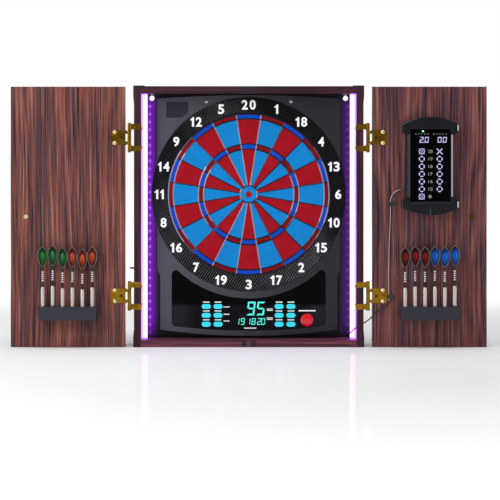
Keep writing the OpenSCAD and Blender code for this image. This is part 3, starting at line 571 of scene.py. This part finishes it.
def lettering(text, height, width, centre, near_y, depth, bold=0.012):
    """Points and faces of upright figures of a given height and width, facing the front."""
    curve = bpy.data.curves.new("figures", "FONT")
    curve.body = text
    curve.offset = bold
    curve.extrude = 0.5
    holder = bpy.data.objects.new("figures", curve)
    bpy.context.scene.collection.objects.link(holder)
    bpy.context.view_layer.update()
    evaluated = holder.evaluated_get(bpy.context.evaluated_depsgraph_get())
    mesh = bpy.data.meshes.new_from_object(evaluated)
    flat = np.array([v.co for v in mesh.vertices])
    faces = [tuple(p.vertices) for p in mesh.polygons]
    bpy.data.objects.remove(holder)
    bpy.data.meshes.remove(mesh)
    low, high = flat.min(0), flat.max(0)
    size = high - low
    unit = (flat - low) / size - 0.5
    points = [
        (centre[0] + p[0] * width, near_y + depth * (0.5 - p[2]), centre[1] + p[1] * height) for p in unit
    ]
    return points, faces


# ---- Materials in use ----

LEFT_TONES = [rgb(c) for c in ("#332229", "#603a3a", "#80453d", "#a66859", "#48353c", "#c09889")]
# The right door's tones are the left door's, a little darker: painted shade, as if the right door got less of
# the light.
RIGHT_SHADED_TONES = [rgb(c) for c in ("#2e1e28", "#57343a", "#733e3d", "#975d54", "#42303c", "#b08781")]
FRAME_TONES = [rgb(c) for c in ("#1f0e18", "#341826", "#431f2d", "#552934", "#2b1823", "#693f4a")]
LOW_TONES = [rgb(c) for c in ("#381c29", "#5c3041", "#783f4e", "#985258", "#4c303c", "#bc7e80")]
looks = {
    "door_left": wood("wood_door_left", 2, 3.1, LEFT_TONES),
    "door_right": wood("wood_door_right", 2, 7.7, RIGHT_SHADED_TONES),
    "side": wood("wood_side", 2, 12.4, FRAME_TONES, glow=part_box("right_side_board")[0].x),
    "rail": wood("wood_rail", 0, 18.2, FRAME_TONES),
    "low_rail": wood("wood_low_rail", 0, 23.9, LOW_TONES),
    "panel": lit_panel(),
    "graphite": shell_gloss(),
    "black": plastic("shell_black", "#0c0c0f", 0.45),
    # The two paler web looks are painted sheen and painted highlights on the black web.
    "web": web_gloss("web_black", "#07071e", 0.0),
    "web_painted_sheen": web_gloss("web_sheen", "#5c5068", 0.2),
    "web_painted_glint": web_gloss("web_glint", "#a8a2b6", 0.35),
    "mat": plastic("mat_rubber", "#262628", 0.7),
    "pcb": plastic("board_green", "#0e3a20", 0.4),
    "window": window_gloss(),
    "key": glowing("key_cyan", "#34dcec", 0.72, "#1098ac"),
    "button": button_gloss(),
    "knob": plastic("knob_black", "#0c0c0e", 0.3, 0.00002, 900, 0.1, Coat_Weight=0.5, Coat_Roughness=0.15),
    "slate": plastic("holder_slate", "#272735", 0.5),
    "score": plastic("scoreboard_slate", "#10141c", 0.34, IOR=1.3),
    "score_window": plastic("score_window", "#030304", 0.12, 0.000002, 500, 0.3, IOR=1.13),
    "cable": plastic("cable_black", "#060608", 0.34, 0.00001, 1200, Coat_Weight=0.3, Coat_Roughness=0.15),
    "protector": plastic("protector_slate", "#20242b", 0.4, 0.0001, 600, 0.2, Metallic=0.4),
    "magnet": plastic("magnet_grey", "#31333d", 0.42, 0.0001, 500, 0.3, Metallic=0.6),
    "channel": plastic("channel_black", "#17171b", 0.35, 0.00003, 900, 0.2, Metallic=0.5),
    "brass": metal("hinge_brass", "#96701e", 0.17, None, "#6a4a12"),
    "door_screw": screw_face("door_screw_brass", 0.271, 0.40, "#f0e2b0", "#4e3812"),
    "lead": lead_sheath(),
    "steel": metal("screw_steel", "#d8d8dc", 0.26, None, "#8c8c90"),
    "silver": metal("barrel_silver", "#dcd4d0", 0.42, (0.2, 0.2, 3.0)),
    "tube": glowing("tube_violet", "#b868ff", 6.0, "#e8e0ff"),
    "ring": woven_ring(),
    "red": drilled("segment_red", "#cc0c24", 0.80),
    "blue": drilled("segment_blue", "#10a4ff", 0.90),
    "ring_red": drilled("ring_red", "#9c0c1c", 0.85),
    "ring_blue": drilled("ring_blue", "#0c5cf0", 0.9),
    # The printed figures glow faintly: painted light that makes them whiter.
    "figures": plastic("figures_white_glowing", "#f8f8f8", 0.4, 0.00002, 1500, 0.05, Emission_Color=rgb("#ffffff"),
                       Emission_Strength=0.25),
}

NODE_LOOKS = {
    "top_board": "rail", "bottom_board": "low_rail", "left_side_board": "side", "right_side_board": "side",
    "back_panel": "panel", "corner_protectors": "protector", "cabinet_screws": "steel",
    "catch_magnets": "magnet", "led_channels": "channel", "led_tubes": "tube",
    "hinge_cabinet_leaves": "brass", "hinge_pins": "brass",
    "rear_shell": "black", "front_shell": "graphite", "catch_ring": "ring", "spider": "web",
    "sensor_mat": "mat", "display_board": "pcb", "display_window": "window",
    "red_singles": "red", "blue_singles": "blue", "red_ring_segments": "ring_red",
    "blue_ring_segments": "ring_blue", "outer_bull": "blue", "bullseye": "red",
    "player_button": "button",
    "left_door": "door_left", "right_door": "door_right",
    "left_door_hinge_leaves": "brass", "right_door_hinge_leaves": "brass",
    "left_door_screws": "door_screw", "right_door_screws": "door_screw",
    "left_knob": "knob", "right_knob": "knob",
    "left_dart_holder": "slate", "right_dart_holder": "slate",
    "scoreboard_housing": "score", "scoreboard_display": "score_window", "cable_clips": "knob",
    "scoreboard_cable": "cable", "cable_crossing": "cable",
    "power_cord": "cable", "power_cord_coil": "cable", "power_adapter": "black",
}


def finish_nodes():
    for name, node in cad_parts.items():
        look = NODE_LOOKS.get(name, "key" if "_key_" in name else None)
        if look is None:
            continue
        node.data.materials.clear()
        node.data.materials.append(looks[look])
        if look == "brass":
            bevel = node.modifiers.new("soft_edges", "BEVEL")
            bevel.width = 0.35 * MM
            bevel.segments = 2
            bevel.limit_method = "ANGLE"


# ---- Leads ----

POWER_EXIT = (-241, 25, 163)
POWER_ROUTE = [
    POWER_EXIT, (-243, 25, 163), (-249.5, 26.5, 163), (-253.3, 31.5, 163), (-253.6, 38, 163),
    (-250.6, 44.5, 162.8), (-244.5, 49, 162), (-236.5, 51, 160), (-228, 51.5, 155.5),
    (-220.5, 51.5, 147), (-215, 51, 134), (-212, 49.5, 115), (-211, 47.5, 90), (-210.7, 46, 62),
    (-210.7, 45.5, 38), (-210.7, 46.5, 21), (-210.7, 50, 9), (-210.7, 56, 3.2), (-210.7, 62, 1.75),
]
COIL_CENTRE = (-190, 62)
COIL_LANES = [(20.7, 0), (17.3, 0), (17.3, 1), (20.7, 1), (20.7, 2), (17.3, 2), (17.3, 3), (20.7, 3),
              (20.7, 4), (17.3, 4), (17.3, 5), (20.7, 5)]
TAIL_ROUTE = [
    (-190, 82.7, 18.7), (-180, 82.2, 18.4), (-170, 79, 17.2), (-161, 74.2, 15.6),
    (-153, 69.2, 14.3), (-147, 66.6, 13.6), (-142, 66, 13.5),
]
POWER_D = 3.4


def coil_point(turn):
    """A point of the coil. Each lane gives way to the next a little earlier in the turn than the last did."""
    lane_turns, change_turns = 0.92, 0.08
    first_z = 1.75
    lane = min(int(turn / lane_turns), len(COIL_LANES) - 1)
    into = (turn - lane * lane_turns) / change_turns
    share = 1.0 if lane == 0 else min(max(into, 0.0), 1.0)
    share = share * share * (3 - 2 * share)
    before, after = COIL_LANES[max(lane - 1, 0)], COIL_LANES[lane]
    radius = before[0] + (after[0] - before[0]) * share
    layer = before[1] + (after[1] - before[1]) * share
    a = math.pi - 2 * math.pi * turn
    return (COIL_CENTRE[0] + radius * math.cos(a), COIL_CENTRE[1] + radius * math.sin(a),
            first_z + layer * POWER_D)


def make_power_cord():
    steps, turns = 26, 10.25
    coil = [coil_point(turns * i / round(turns * steps)) for i in range(1, round(turns * steps))]
    points = spline(POWER_ROUTE, 4) + [Vector(p) for p in coil] + spline(TAIL_ROUTE, 4)
    curve = bpy.data.curves.new("power_lead", "CURVE")
    curve.dimensions = "3D"
    curve.bevel_depth = POWER_D / 2 * MM
    curve.bevel_resolution = 4
    line = curve.splines.new("POLY")
    line.points.add(len(points) - 1)
    for slot, p in zip(line.points, points):
        slot.co = (p.x * MM, p.y * MM, p.z * MM, 1)
    curve.materials.append(looks["cable"])
    lead = bpy.data.objects.new("power_lead", curve)
    bpy.context.scene.collection.objects.link(lead)
    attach(lead, "cabinet")
    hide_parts("power_cord", "power_cord_coil")
    inner_x = (-223, -232, -241)
    inner = Shape()
    tube(inner, [(x, POWER_EXIT[1], POWER_EXIT[2]) for x in inner_x], POWER_D / 2)
    inner.object("power_lead_inside", "cabinet", "cable_black", [looks["cable"]])


CROSSING_ROUTE = [
    (294.5, -39.5, 98), (291.5, -39.9, 91), (285, -40.6, 85), (275, -41.2, 79), (265, -41.6, 71.5),
    (256, -41.6, 62), (247, -41.4, 54.5), (238, -41.2, 49.5), (230, -40.8, 44.5),
    (222.5, -37.4, 38.5), (214.5, -30, 30.5), (206.5, -18.5, 25), (200, -5, 23.5), (196, 8, 30),
    (193, 15.5, 40), (188.4, 16.5, 44),
]
DOOR_LEAD_ROUTE = [
    (331.2, -45, 331), (320, -44.5, 331), (309, -42, 327), (301, -39.8, 318), (298, -39.5, 306),
    (298, -39.5, 286), (297.5, -39.5, 262), (296, -39.5, 232), (295, -39.5, 200),
    (294.5, -39.5, 165), (294.5, -39.5, 132), (294.5, -39.5, 98),
]


def make_scoreboard_lead():
    radius = 1.3
    fixed = Shape()
    tube(fixed, spline(DOOR_LEAD_ROUTE, 5), radius)
    fixed.object("scoreboard_lead", "right_door", "cable_black", [looks["lead"]], "scoreboard_cable")
    crossing = Shape()
    tube(crossing, spline(CROSSING_ROUTE, 6), radius)
    bending = crossing.object("crossing_lead", None, "cable_black", [looks["cable"]], "cable_crossing")
    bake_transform(bending)


# ---- Number ring and displays ----

NUMBERS = (20, 1, 18, 4, 13, 6, 10, 15, 2, 17, 3, 19, 7, 16, 8, 11, 14, 9, 12, 5)


def one_outline(left, right, low, high):
    """The figure 1, with its flag."""
    stem = right - 4.3
    return [(stem, low), (right, low), (right, high), (right - 3.2, high),
            (right - 5.0, high - 2.8), (left, high - 4.6), (left, high - 7.6), (stem, high - 6.6)]


def make_numbers():
    circle_r, low_half_drop = 190, 1.4
    height, digit_w, one_w, gap = 20.3, 12.8, 7.8, 4.0
    near_y, depth = CATCH_Y - 0.25, 0.4
    ring = Shape()
    for i, number in enumerate(NUMBERS):
        a = 2 * math.pi * i / len(NUMBERS)
        text = str(number)
        widths = [one_w if digit == "1" else digit_w for digit in text]
        x = TARGET.x + circle_r * math.sin(a) - (sum(widths) + gap * (len(text) - 1)) / 2
        z = TARGET.z + circle_r * math.cos(a) - (low_half_drop if math.cos(a) < -0.3 else 0.0)
        for digit, width in zip(text, widths):
            if digit == "1":
                outline = one_outline(x, x + width, z - height / 2, z + height / 2)
                ring.prism(outline, near_y, near_y + depth)
            else:
                shown = "6" if digit == "9" else digit
                turn = -1 if digit == "9" else 1
                points, faces = lettering(shown, height, width, (0, 0), near_y, depth, 0.03)
                middle = x + width / 2
                ring.add([(middle + turn * px, py, z + turn * pz) for px, py, pz in points], faces)
            x += width + gap
    ring.object("dial_numbers", "cabinet", "ring_black", [looks["figures"]])


def web_look(middle, side):
    """The look of a stretch of web: 2 is pale, a painted highlight; 1 is between, a fainter painted sheen;
    and 0 is black.

    It is painted pale where the flanks look sideways, and more so on the left, as under a lamp at the left."""
    share = abs(side.x) + (0.12 if middle.x < 0 else 0.0)
    return 2 if share > 0.93 else 1 if share > 0.82 else 0


def add_ridge(web, path, closed, half):
    """A ridge with sloping flanks along a path of X and Z round the bull. half is half its width."""
    base_y, low_y, top_y = WEB_Y + 0.3, WEB_Y + 0.05, WEB_Y - 0.45
    crest = 0.3
    right_flank = [(half, base_y), (half, low_y), (crest, top_y)]
    section = right_flank + [(-offset, y) for offset, y in reversed(right_flank)]
    m = len(section)
    path = [Vector(p) for p in path]
    n = len(path)
    points, kinds = [], []
    for i, p in enumerate(path):
        before = path[(i - 1) % n] if closed or i > 0 else p
        after = path[(i + 1) % n] if closed or i < n - 1 else p
        along = (after - before).normalized()
        side = Vector((-along.y, along.x))
        kinds.append(web_look(p, side))
        for offset, y in section:
            q = p + side * offset
            points.append((TARGET.x + q.x, y, TARGET.z + q.y))
    for look in (0, 1, 2):
        faces = []
        for i in range(n if closed else n - 1):
            j = (i + 1) % n
            if kinds[i] == look:
                for k in range(m):
                    beside = (k + 1) % m
                    faces.append((i * m + k, i * m + beside, j * m + beside, j * m + k))
        if look == kinds[0] and not closed:
            faces += [tuple(range(m - 1, -1, -1)), tuple((n - 1) * m + k for k in range(m))]
        used = sorted({v for face in faces for v in face})
        place = {v: i for i, v in enumerate(used)}
        web.add([points[v] for v in used], [tuple(place[v] for v in face) for face in faces], look)


def make_web():
    """The web between the segments: five rings and twenty radial ridges."""
    bull_r, rim_r = 18.2, 170.6
    ring_radii = (bull_r, 96.0, 107.0, 160.3, rim_r)
    radial_steps = (bull_r, 57, 96, 133, rim_r)
    web = Shape()
    for radius in ring_radii:
        angles = [math.radians(a) for a in range(0, 360, 3)]
        add_ridge(web, [(radius * math.cos(a), radius * math.sin(a)) for a in angles], True, 1.3)
    for i in range(20):
        a = math.radians(9 + 18 * i)
        add_ridge(web, [(r * math.sin(a), r * math.cos(a)) for r in radial_steps], False, 1.1)
    web.object("web_ridges", "cabinet", "web_black", [looks["web"], looks["web_painted_sheen"], looks["web_painted_glint"]])


SEVEN = {
    "0": "abcdef", "1": "bc", "2": "abged", "3": "abgcd", "4": "fgbc", "5": "afgcd", "6": "afgedc",
    "7": "abc", "8": "abcdefg", "9": "abcdfg",
}


def seven_segment(shape, digit, x, z, w, h, t, near_y, far_y, look=0, slant=0.12, gap=0.35):
    """One figure of seven lit bars, t thick with gaps between them. x and z are its lower left corner."""
    middle = h / 2
    bars = {
        "a": ((0, h), (w, h), (w - t, h - t), (t, h - t)),
        "d": ((0, 0), (t, t), (w - t, t), (w, 0)),
        "g": ((t / 2, middle), (t, middle + t / 2), (w - t, middle + t / 2), (w - t / 2, middle),
              (w - t, middle - t / 2), (t, middle - t / 2)),
        "f": ((0, h), (t, h - t), (t, middle + t / 2), (0, middle)),
        "b": ((w, h), (w, middle), (w - t, middle + t / 2), (w - t, h - t)),
        "e": ((0, 0), (0, middle), (t, middle - t / 2), (t, t)),
        "c": ((w, 0), (w - t, t), (w - t, middle - t / 2), (w, middle)),
    }
    for name in SEVEN[digit]:
        points = bars[name]
        cx = sum(p[0] for p in points) / len(points)
        cz = sum(p[1] for p in points) / len(points)
        shrunk = []
        for px, pz in points:
            away = math.hypot(px - cx, pz - cz)
            k = max(0.0, 1 - gap / away)
            px, pz = cx + (px - cx) * k, cz + (pz - cz) * k
            shrunk.append((x + px + slant * pz, z + pz))
        area = sum(a[0] * b[1] - b[0] * a[1] for a, b in zip(shrunk, shrunk[1:] + shrunk[:1]))
        if area < 0:
            shrunk.reverse()
        shape.prism(shrunk, near_y, far_y, look)


def make_displays():
    """The window's lit figures, and its dashes above the keys, round the figures and over the button."""
    lit = glowing("digits_turquoise", "#48f0dc", 1.3)
    near_y, mark_y, far_y = WINDOW_Y - 0.15, WINDOW_Y - 0.07, WINDOW_Y
    digits = Shape()
    for x, digit in ((-5, "9"), (15.5, "5")):
        seven_segment(digits, digit, x, 63.5, 16.5, 29, 3.6, near_y, far_y)
    for x, digit in zip((-29, -17.8, -5.6, 5.4, 17.4, 25.6), "191820"):
        seven_segment(digits, digit, x, 43.5, 8.2, 14, 1.7, near_y, far_y, gap=0.2)
    digits.object("display_digits", "cabinet", "window_black", [lit])
    marks = Shape()

    def dash(x, z, half_w, half_h):
        marks.bar(x - half_w, z - half_h, x + half_w, z + half_h, mark_y, far_y)

    above_key = 9.3
    for side in ("left", "right"):
        for number in range(1, 7):
            key = middle_of(f"{side}_key_{number}")
            dash(key.x, key.z + above_key, 7.2, 1.0)
    for z in (81.3, 65.8, 51.5):
        dash(-47.25, z, 6.25, 0.9)
    for z in (77.0, 74.0, 58.0, 55.0):
        dash(44.75, z, 6.25, 0.8)
    dash(124, 73.3, 18, 1.3)
    dash(3, 36.4, 13, 1.0)
    # The printed dashes glow: painted light, though they are print.
    white = glowing("print_white_glowing", "#f0f0f0", 0.45, "#dcdcdc")
    marks.object("window_marks", "cabinet", "window_black", [white])


def ring_arc(shape, cx, cz, inner, outer, start, end, near_y, far_y, look=0, steps=8):
    angles = [math.radians(start + (end - start) * i / steps) for i in range(steps + 1)]
    outline = [(cx + outer * math.cos(a), cz + outer * math.sin(a)) for a in angles]
    outline += [(cx + inner * math.cos(a), cz + inner * math.sin(a)) for a in reversed(angles)]
    shape.prism(outline, near_y, far_y, look)


def add_cross(shape, cx, cz, far, half, near_y, far_y):
    """Four short diagonal bars that nearly meet."""
    near = 0.6
    for quarter in range(4):
        a = math.radians(45 + 90 * quarter)
        c, s = math.cos(a), math.sin(a)
        corners = ((near, half), (far, half), (far, -half), (near, -half))
        shape.prism([(cx + u * c + v * s, cz + u * s - v * c) for u, v in corners], near_y, far_y)


def make_score_digits(rows, near_y, far_y):
    """The lit figures and the marks of hits in two columns: circles, a cross, and circled crosses."""
    lit = Shape()
    for text, x in (("20", 356.3), ("00", 394.0)):
        for i, digit in enumerate(text):
            seven_segment(lit, digit, x + i * 10.8, 429.0, 8.0, 12, 1.9, near_y, far_y, slant=0.1, gap=0.2)
    lit.bar(364.9, 428.6, 366.6, 430.4, near_y, far_y)
    for cx, kinds in ((361.4, "*ooooo*"), (398.6, "xooooo")):
        for cz, kind in zip(rows, kinds):
            if kind in "o*":
                for a in range(0, 360, 90):
                    ring_arc(lit, cx, cz, 4.9 if kind == "*" else 4.1, 6.2, a - 33, a + 33, near_y, far_y)
            if kind == "x":
                add_cross(lit, cx, cz, 8.4, 0.95, near_y, far_y)
            if kind == "*":
                add_cross(lit, cx, cz, 8.2, 0.5, near_y, far_y)
    lit.object("score_digits", "right_door", "window_black", [glowing("digits_violet", "#cfc8ff", 1.05)])


def make_score_print(rows, near_y, far_y):
    """The printed column of numbers, which ends in a disc, and the dashes above the lit figures."""
    printed = Shape()
    for cz, text in zip(rows, ("20", "19", "18", "17", "16", "15")):
        points, faces = lettering(text, 6.6, 9.2, (SCOREBOARD_X, cz), near_y, 0.15, 0.02)
        printed.add(points, faces)
    disc = [(0.01, 0), (3.6, 0), (3.6, 0.1)]
    printed.turned(disc, (378.7, near_y + 0.05, rows[-1]), "y", sides=28)
    for x in (348.9, 355.1, 361.7, 368.2, 375, 386.7, 392.9, 399.1, 405.3, 412.2):
        printed.bar(x - 1.5, 446.4, x + 1.5, 448, near_y + 0.05, far_y)
    printed.object("score_print", "right_door", "window_black", [plastic("print_grey", "#8a8a86", 0.5)])


def make_score_edges():
    """Thin bright edges of the housing, which are painted highlights: on its caps' ears, its sides, the two
    cap arches, under the window and in the lower cap's seam.
    """
    cap_y = front_of("scoreboard_housing")
    near_y, far_y = cap_y - 0.2, cap_y + 0.1
    silver, pink, grey, dim = range(4)
    ear_h = 12.6
    body_low, body_high = 316.2, 445.5
    edges = Shape()
    for z in (293.6, 453.7):
        # The silver strips on the ears are painted highlights drawn as bright metal.
        edges.bar(435.9, z, 438.4, z + ear_h, near_y, far_y, silver)
        edges.bar(320.3, z, 321.5, z + ear_h, near_y, far_y, grey)
    for left, right, look in ((422.9, 426.4, pink), (331.8, 333.4, grey), (335.2, 336.6, grey)):
        edges.bar(left, body_low, right, body_high, near_y, far_y, look)
    edges.bar(339, 302.6, 420, 303.5, near_y, far_y, dim)
    edges.bar(378.8, 279, 380.2, 290.2, near_y, far_y, grey)
    ring_arc(edges, SCOREBOARD_X, 363.5, 117.7, 118.9, 103, 119.5, near_y, far_y, grey, 10)
    ring_arc(edges, SCOREBOARD_X, 396.5, 117.9, 118.9, 241, 262, near_y, far_y, dim, 10)
    edges.object("score_edge_highlights", "right_door", "window_black", [
        metal("edge_highlight_silver", "#f2eef0", 0.3), plastic("edge_highlight_pink", "#b4a2a8", 0.35),
        plastic("edge_highlight_grey", "#4c505e", 0.35), plastic("edge_highlight_dim", "#3a3e48", 0.35)])


def make_scoreboard_marks():
    face_y = front_of("scoreboard_display")
    near_y = face_y - 0.15
    top_row, row_pitch = 410.8, 15.75
    rows = [top_row - row_pitch * i for i in range(7)]
    make_score_digits(rows, near_y, face_y)
    make_score_print(rows, near_y, face_y)
    make_score_edges()
    lamp = Shape()
    lamp.turned([(0.01, 0), (1.7, 0), (1.7, 0.1)], (364, near_y + 0.05, 453), "y", sides=24)
    lamp.object("score_lamp", "right_door", "window_black", [glowing("led_green", "#8affb0", 3.0)])


# ---- Trim on the shell ----

def make_badge_plate():
    """The plain badge plate in the shell's upper left corner, whose lower right corner follows the ring."""
    face_y = front_of("front_shell") + 1.4
    left, right, low, high, reach = -174.5, -128.5, 483.5, 516.5, 216.0
    start = math.pi - math.asin((low - TARGET.z) / reach)
    stop = math.acos((right - TARGET.x) / reach)
    arc = [start + (stop - start) * i / 12 for i in range(13)]
    curved = [(TARGET.x + reach * math.cos(a), TARGET.z + reach * math.sin(a)) for a in arc]
    plate = Shape()
    plate.prism([(left, low)] + curved + [(right, high), (left, high)], face_y + 0.35, face_y + 0.8)
    slate = plastic("badge_slate", "#30303c", 0.3, 0.00001, 900, 0.2, IOR=1.3)
    plate.object("badge_plate", "cabinet", "shell_graphite", [slate])


def make_shell_screws():
    """The two cross-head screws above the ring. Their cross recess is a dark solid on the head: painted shade
    in place of a hollow.
    """
    z = 518
    y = front_of("front_shell") + 2.9
    head = [(4.0, 0), (4.0, -0.5), (3.0, -1.2), (1.4, -1.5), (0.01, -1.5)]
    slot = ((-3, -0.5), (3, -0.5), (3, 0.5), (-3, 0.5))
    screws = Shape()
    for x in (-90, 90):
        screws.turned(head, (x, y, z), "y")
        for a in (0.6, 0.6 + math.pi / 2):
            c, s = math.cos(a), math.sin(a)
            outline = [(x + u * c - v * s, z + u * s + v * c) for u, v in slot]
            screws.prism(outline, y - 1.55, y - 0.8, 1)
    bright = metal("trim_screw", "#e8e8ec", 0.2)
    # Painted shade for the cross recess.
    dark = plastic("screw_slot_shade", "#08080a", 0.5)
    screws.object("shell_screws", "cabinet", "screw_steel", [bright, dark])


# ---- Darts ----

# Side, slot, the colours of the foil's core (its painted reflection), edge and band, and the places in the
# rack from the hinge side
DARTS = {
    "green_darts": (-1, "dart_green", "#289a34", "#0e5a20", "#04190a", (3, 4, 5)),
    "amber_darts": (-1, "dart_amber", "#e8641c", "#8c2408", "#1e0805", (0, 1, 2)),
    "red_darts": (1, "dart_red", "#c01820", "#5c0508", "#160304", (0, 1, 2)),
    "blue_darts": (1, "dart_blue", "#1e9cfc", "#0a52c0", "#030c24", (3, 4, 5)),
}
# How far each dart is down in its holder, by side, from the hinge side
DART_SINKS = {-1: (3.3, 7.4, 3.9, 5.1, 0.5, 2.7), 1: (4.3, 1.7, 3.5, 1.7, 3.5, 0.5)}
DART_PITCH = 20.7
DART_STANDOFF = 18
RACK_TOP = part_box("right_dart_holder")[1].z / MM
WING = [(0.0, 0.0), (2.0, 1.5), (8.3, 9), (12.7, 18), (13.8, 26), (13.1, 33), (8.3, 39), (0.0, 45)]
SILVER, BLACK, TIP, BEAD, RIM, CORE, BAND, FOIL = range(8)


def add_wing(shape, x, y, z, angle):
    """A flight's wing: foil with a bright core, which is a painted reflection, inside a dark band and a pale
    rim, which is a painted edge highlight.
    """
    outline = [Vector((p[0], p[1])) for p in spline([(a, b, 0) for a, b in WING], 4)]
    middle = Vector((0.0, 23))
    half_t = 0.25
    c, s = math.cos(angle), math.sin(angle)
    rings = []
    for scale in (1.0, 0.96, 0.78, 0.50):
        ring = [middle + (p - middle) * scale for p in outline]
        rings.append([Vector((max(p.x, 0.0), p.y)) for p in ring])
    n = len(outline)

    def placed(ring, side):
        return [(x + c * p.x - s * half_t * side, y + s * p.x + c * half_t * side, z + p.y) for p in ring]

    def strip(first, second, look, turned_over=False):
        faces = [(i, (i + 1) % n, (i + 1) % n + n, i + n) for i in range(n)]
        shape.add(first + second, [face[::-1] for face in faces] if turned_over else faces, look)

    for side in (1, -1):
        for outer, inner, look in zip(rings, rings[1:], (RIM, BAND, FOIL)):
            strip(placed(outer, side), placed(inner, side), look, side > 0)
        core = tuple(range(n))
        shape.add(placed(rings[-1], side), [core[::-1] if side > 0 else core], CORE)
    strip(placed(outline, 1), placed(outline, -1), RIM)


def add_dart(shape, x, y, z):
    """A soft-tip dart, tip down. z is the lower end of its barrel."""
    at = (x, y, z)
    barrel_r, barrel_l = 4.25, 43.5
    shaft_z, flight_z, shaft_top = 55, 83.5, 117
    shape.turned([(0.6, -18.5), (1.2, -8), (2.7, -5), (2.7, 0)], at, look=TIP, sides=20)
    barrel = [(3.2, 0), (4.0, 2.2), (barrel_r, 4)]
    for groove in range(9):
        h = 6 + groove * 1.8
        barrel += [(barrel_r, h), (3.98, h + 0.25), (3.98, h + 0.65), (barrel_r, h + 0.9)]
    barrel += [(barrel_r, 24), (barrel_r, 36.5), (3.9, 39.5), (3.2, barrel_l)]
    shape.turned(barrel, at, look=SILVER, sides=28, smooth=False)
    shape.turned([(2.7, barrel_l), (2.7, 46), (1.9, 54), (1.9, shaft_z)], at, look=BLACK, sides=20)
    shape.turned([(1.5, shaft_z), (1.5, 79), (2.2, 80), (2.2, 86)], at, look=BLACK, sides=16)
    shape.turned([(2.2, 86), (2.2, 116), (1.4, shaft_top)], at, look=FOIL, sides=16)
    for bead in range(5):
        h = shaft_z + 0.4 + 4.5 * bead
        profile = [(1.5, h), (2.2, h + 0.6), (2.5, h + 1.4), (2.2, h + 2.2), (1.5, h + 2.8)]
        shape.turned(profile, at, look=BEAD, sides=20)
    for quarter in range(4):
        add_wing(shape, x, y, z + flight_z, math.radians(45 + 90 * quarter))


def make_darts():
    shaft = plastic("shaft_black", "#101012", 0.35)
    tip = plastic("tip_black", "#141416", 0.45)
    bead = plastic("bead_white", "#e8e8ea", 0.3)
    # The flight rim is a painted edge highlight, and the foil's bright core a painted reflection.
    rim = plastic("flight_rim_highlight", "#85857f", 0.35)
    for node, (sign, slot, reflection_colour, edge_colour, band_colour, places) in DARTS.items():
        core = plastic(node + "_foil", reflection_colour, 0.25, 0.0001, 90, 0.35, Metallic=0.2, Coat_Weight=0.4)
        band = plastic(node + "_band", band_colour, 0.3, 0.0001, 90, 0.4, Metallic=0.3, Coat_Weight=0.5)
        foil = plastic(node + "_foil_edge", edge_colour, 0.3, 0.0001, 90, 0.5, Metallic=0.2, Coat_Weight=0.5)
        shape = Shape()
        for i in places:
            x = sign * (DART_RACK_X + (i - 2.5) * DART_PITCH)
            add_dart(shape, x, FRONT_Y - DART_STANDOFF, RACK_TOP - DART_SINKS[sign][i])
        materials = [looks["silver"], shaft, tip, bead, rim, core, band, foil]
        shape.object(node + "_pieces", node, slot, materials, node)


# ---- Stage ----

def make_stage():
    mesh = bpy.data.meshes.new("floor")
    mesh.from_pydata([(-9, -9, 0), (9, -9, 0), (9, 9, 0), (-9, 9, 0)], [], [(0, 1, 2, 3)])
    s = Shader("floor_pale", Specular_IOR_Level=0.0, Coat_Weight=0.14, Coat_Roughness=0.06)
    dust = s.noise(s.place, 2.5, 3, 0.6)
    pale = s.mix(dust, (0.93, 0.93, 0.93, 1), (0.97, 0.97, 0.97, 1))
    far = s.fit(s.vector("LENGTH", s.place), 0.7, 2.0, smooth=True)
    s.set(Base_Color=s.mix(far, pale, (0, 0, 0, 1)), Roughness=0.5,
          Emission_Color=(1, 1, 1, 1), Emission_Strength=s.math("MULTIPLY", far, 1.2))
    mesh.materials.append(s.material)
    floor = bpy.data.objects.new("floor", mesh)
    bpy.context.scene.collection.objects.link(floor)


# ---- Build ----

bpy.context.scene.view_settings.view_transform = "Standard"
make_camera()
make_power_cord()
make_stage()
make_light()
finish_nodes()
make_scoreboard_lead()
make_numbers()
make_web()
make_badge_plate()
make_shell_screws()
make_displays()
make_scoreboard_marks()
make_darts()
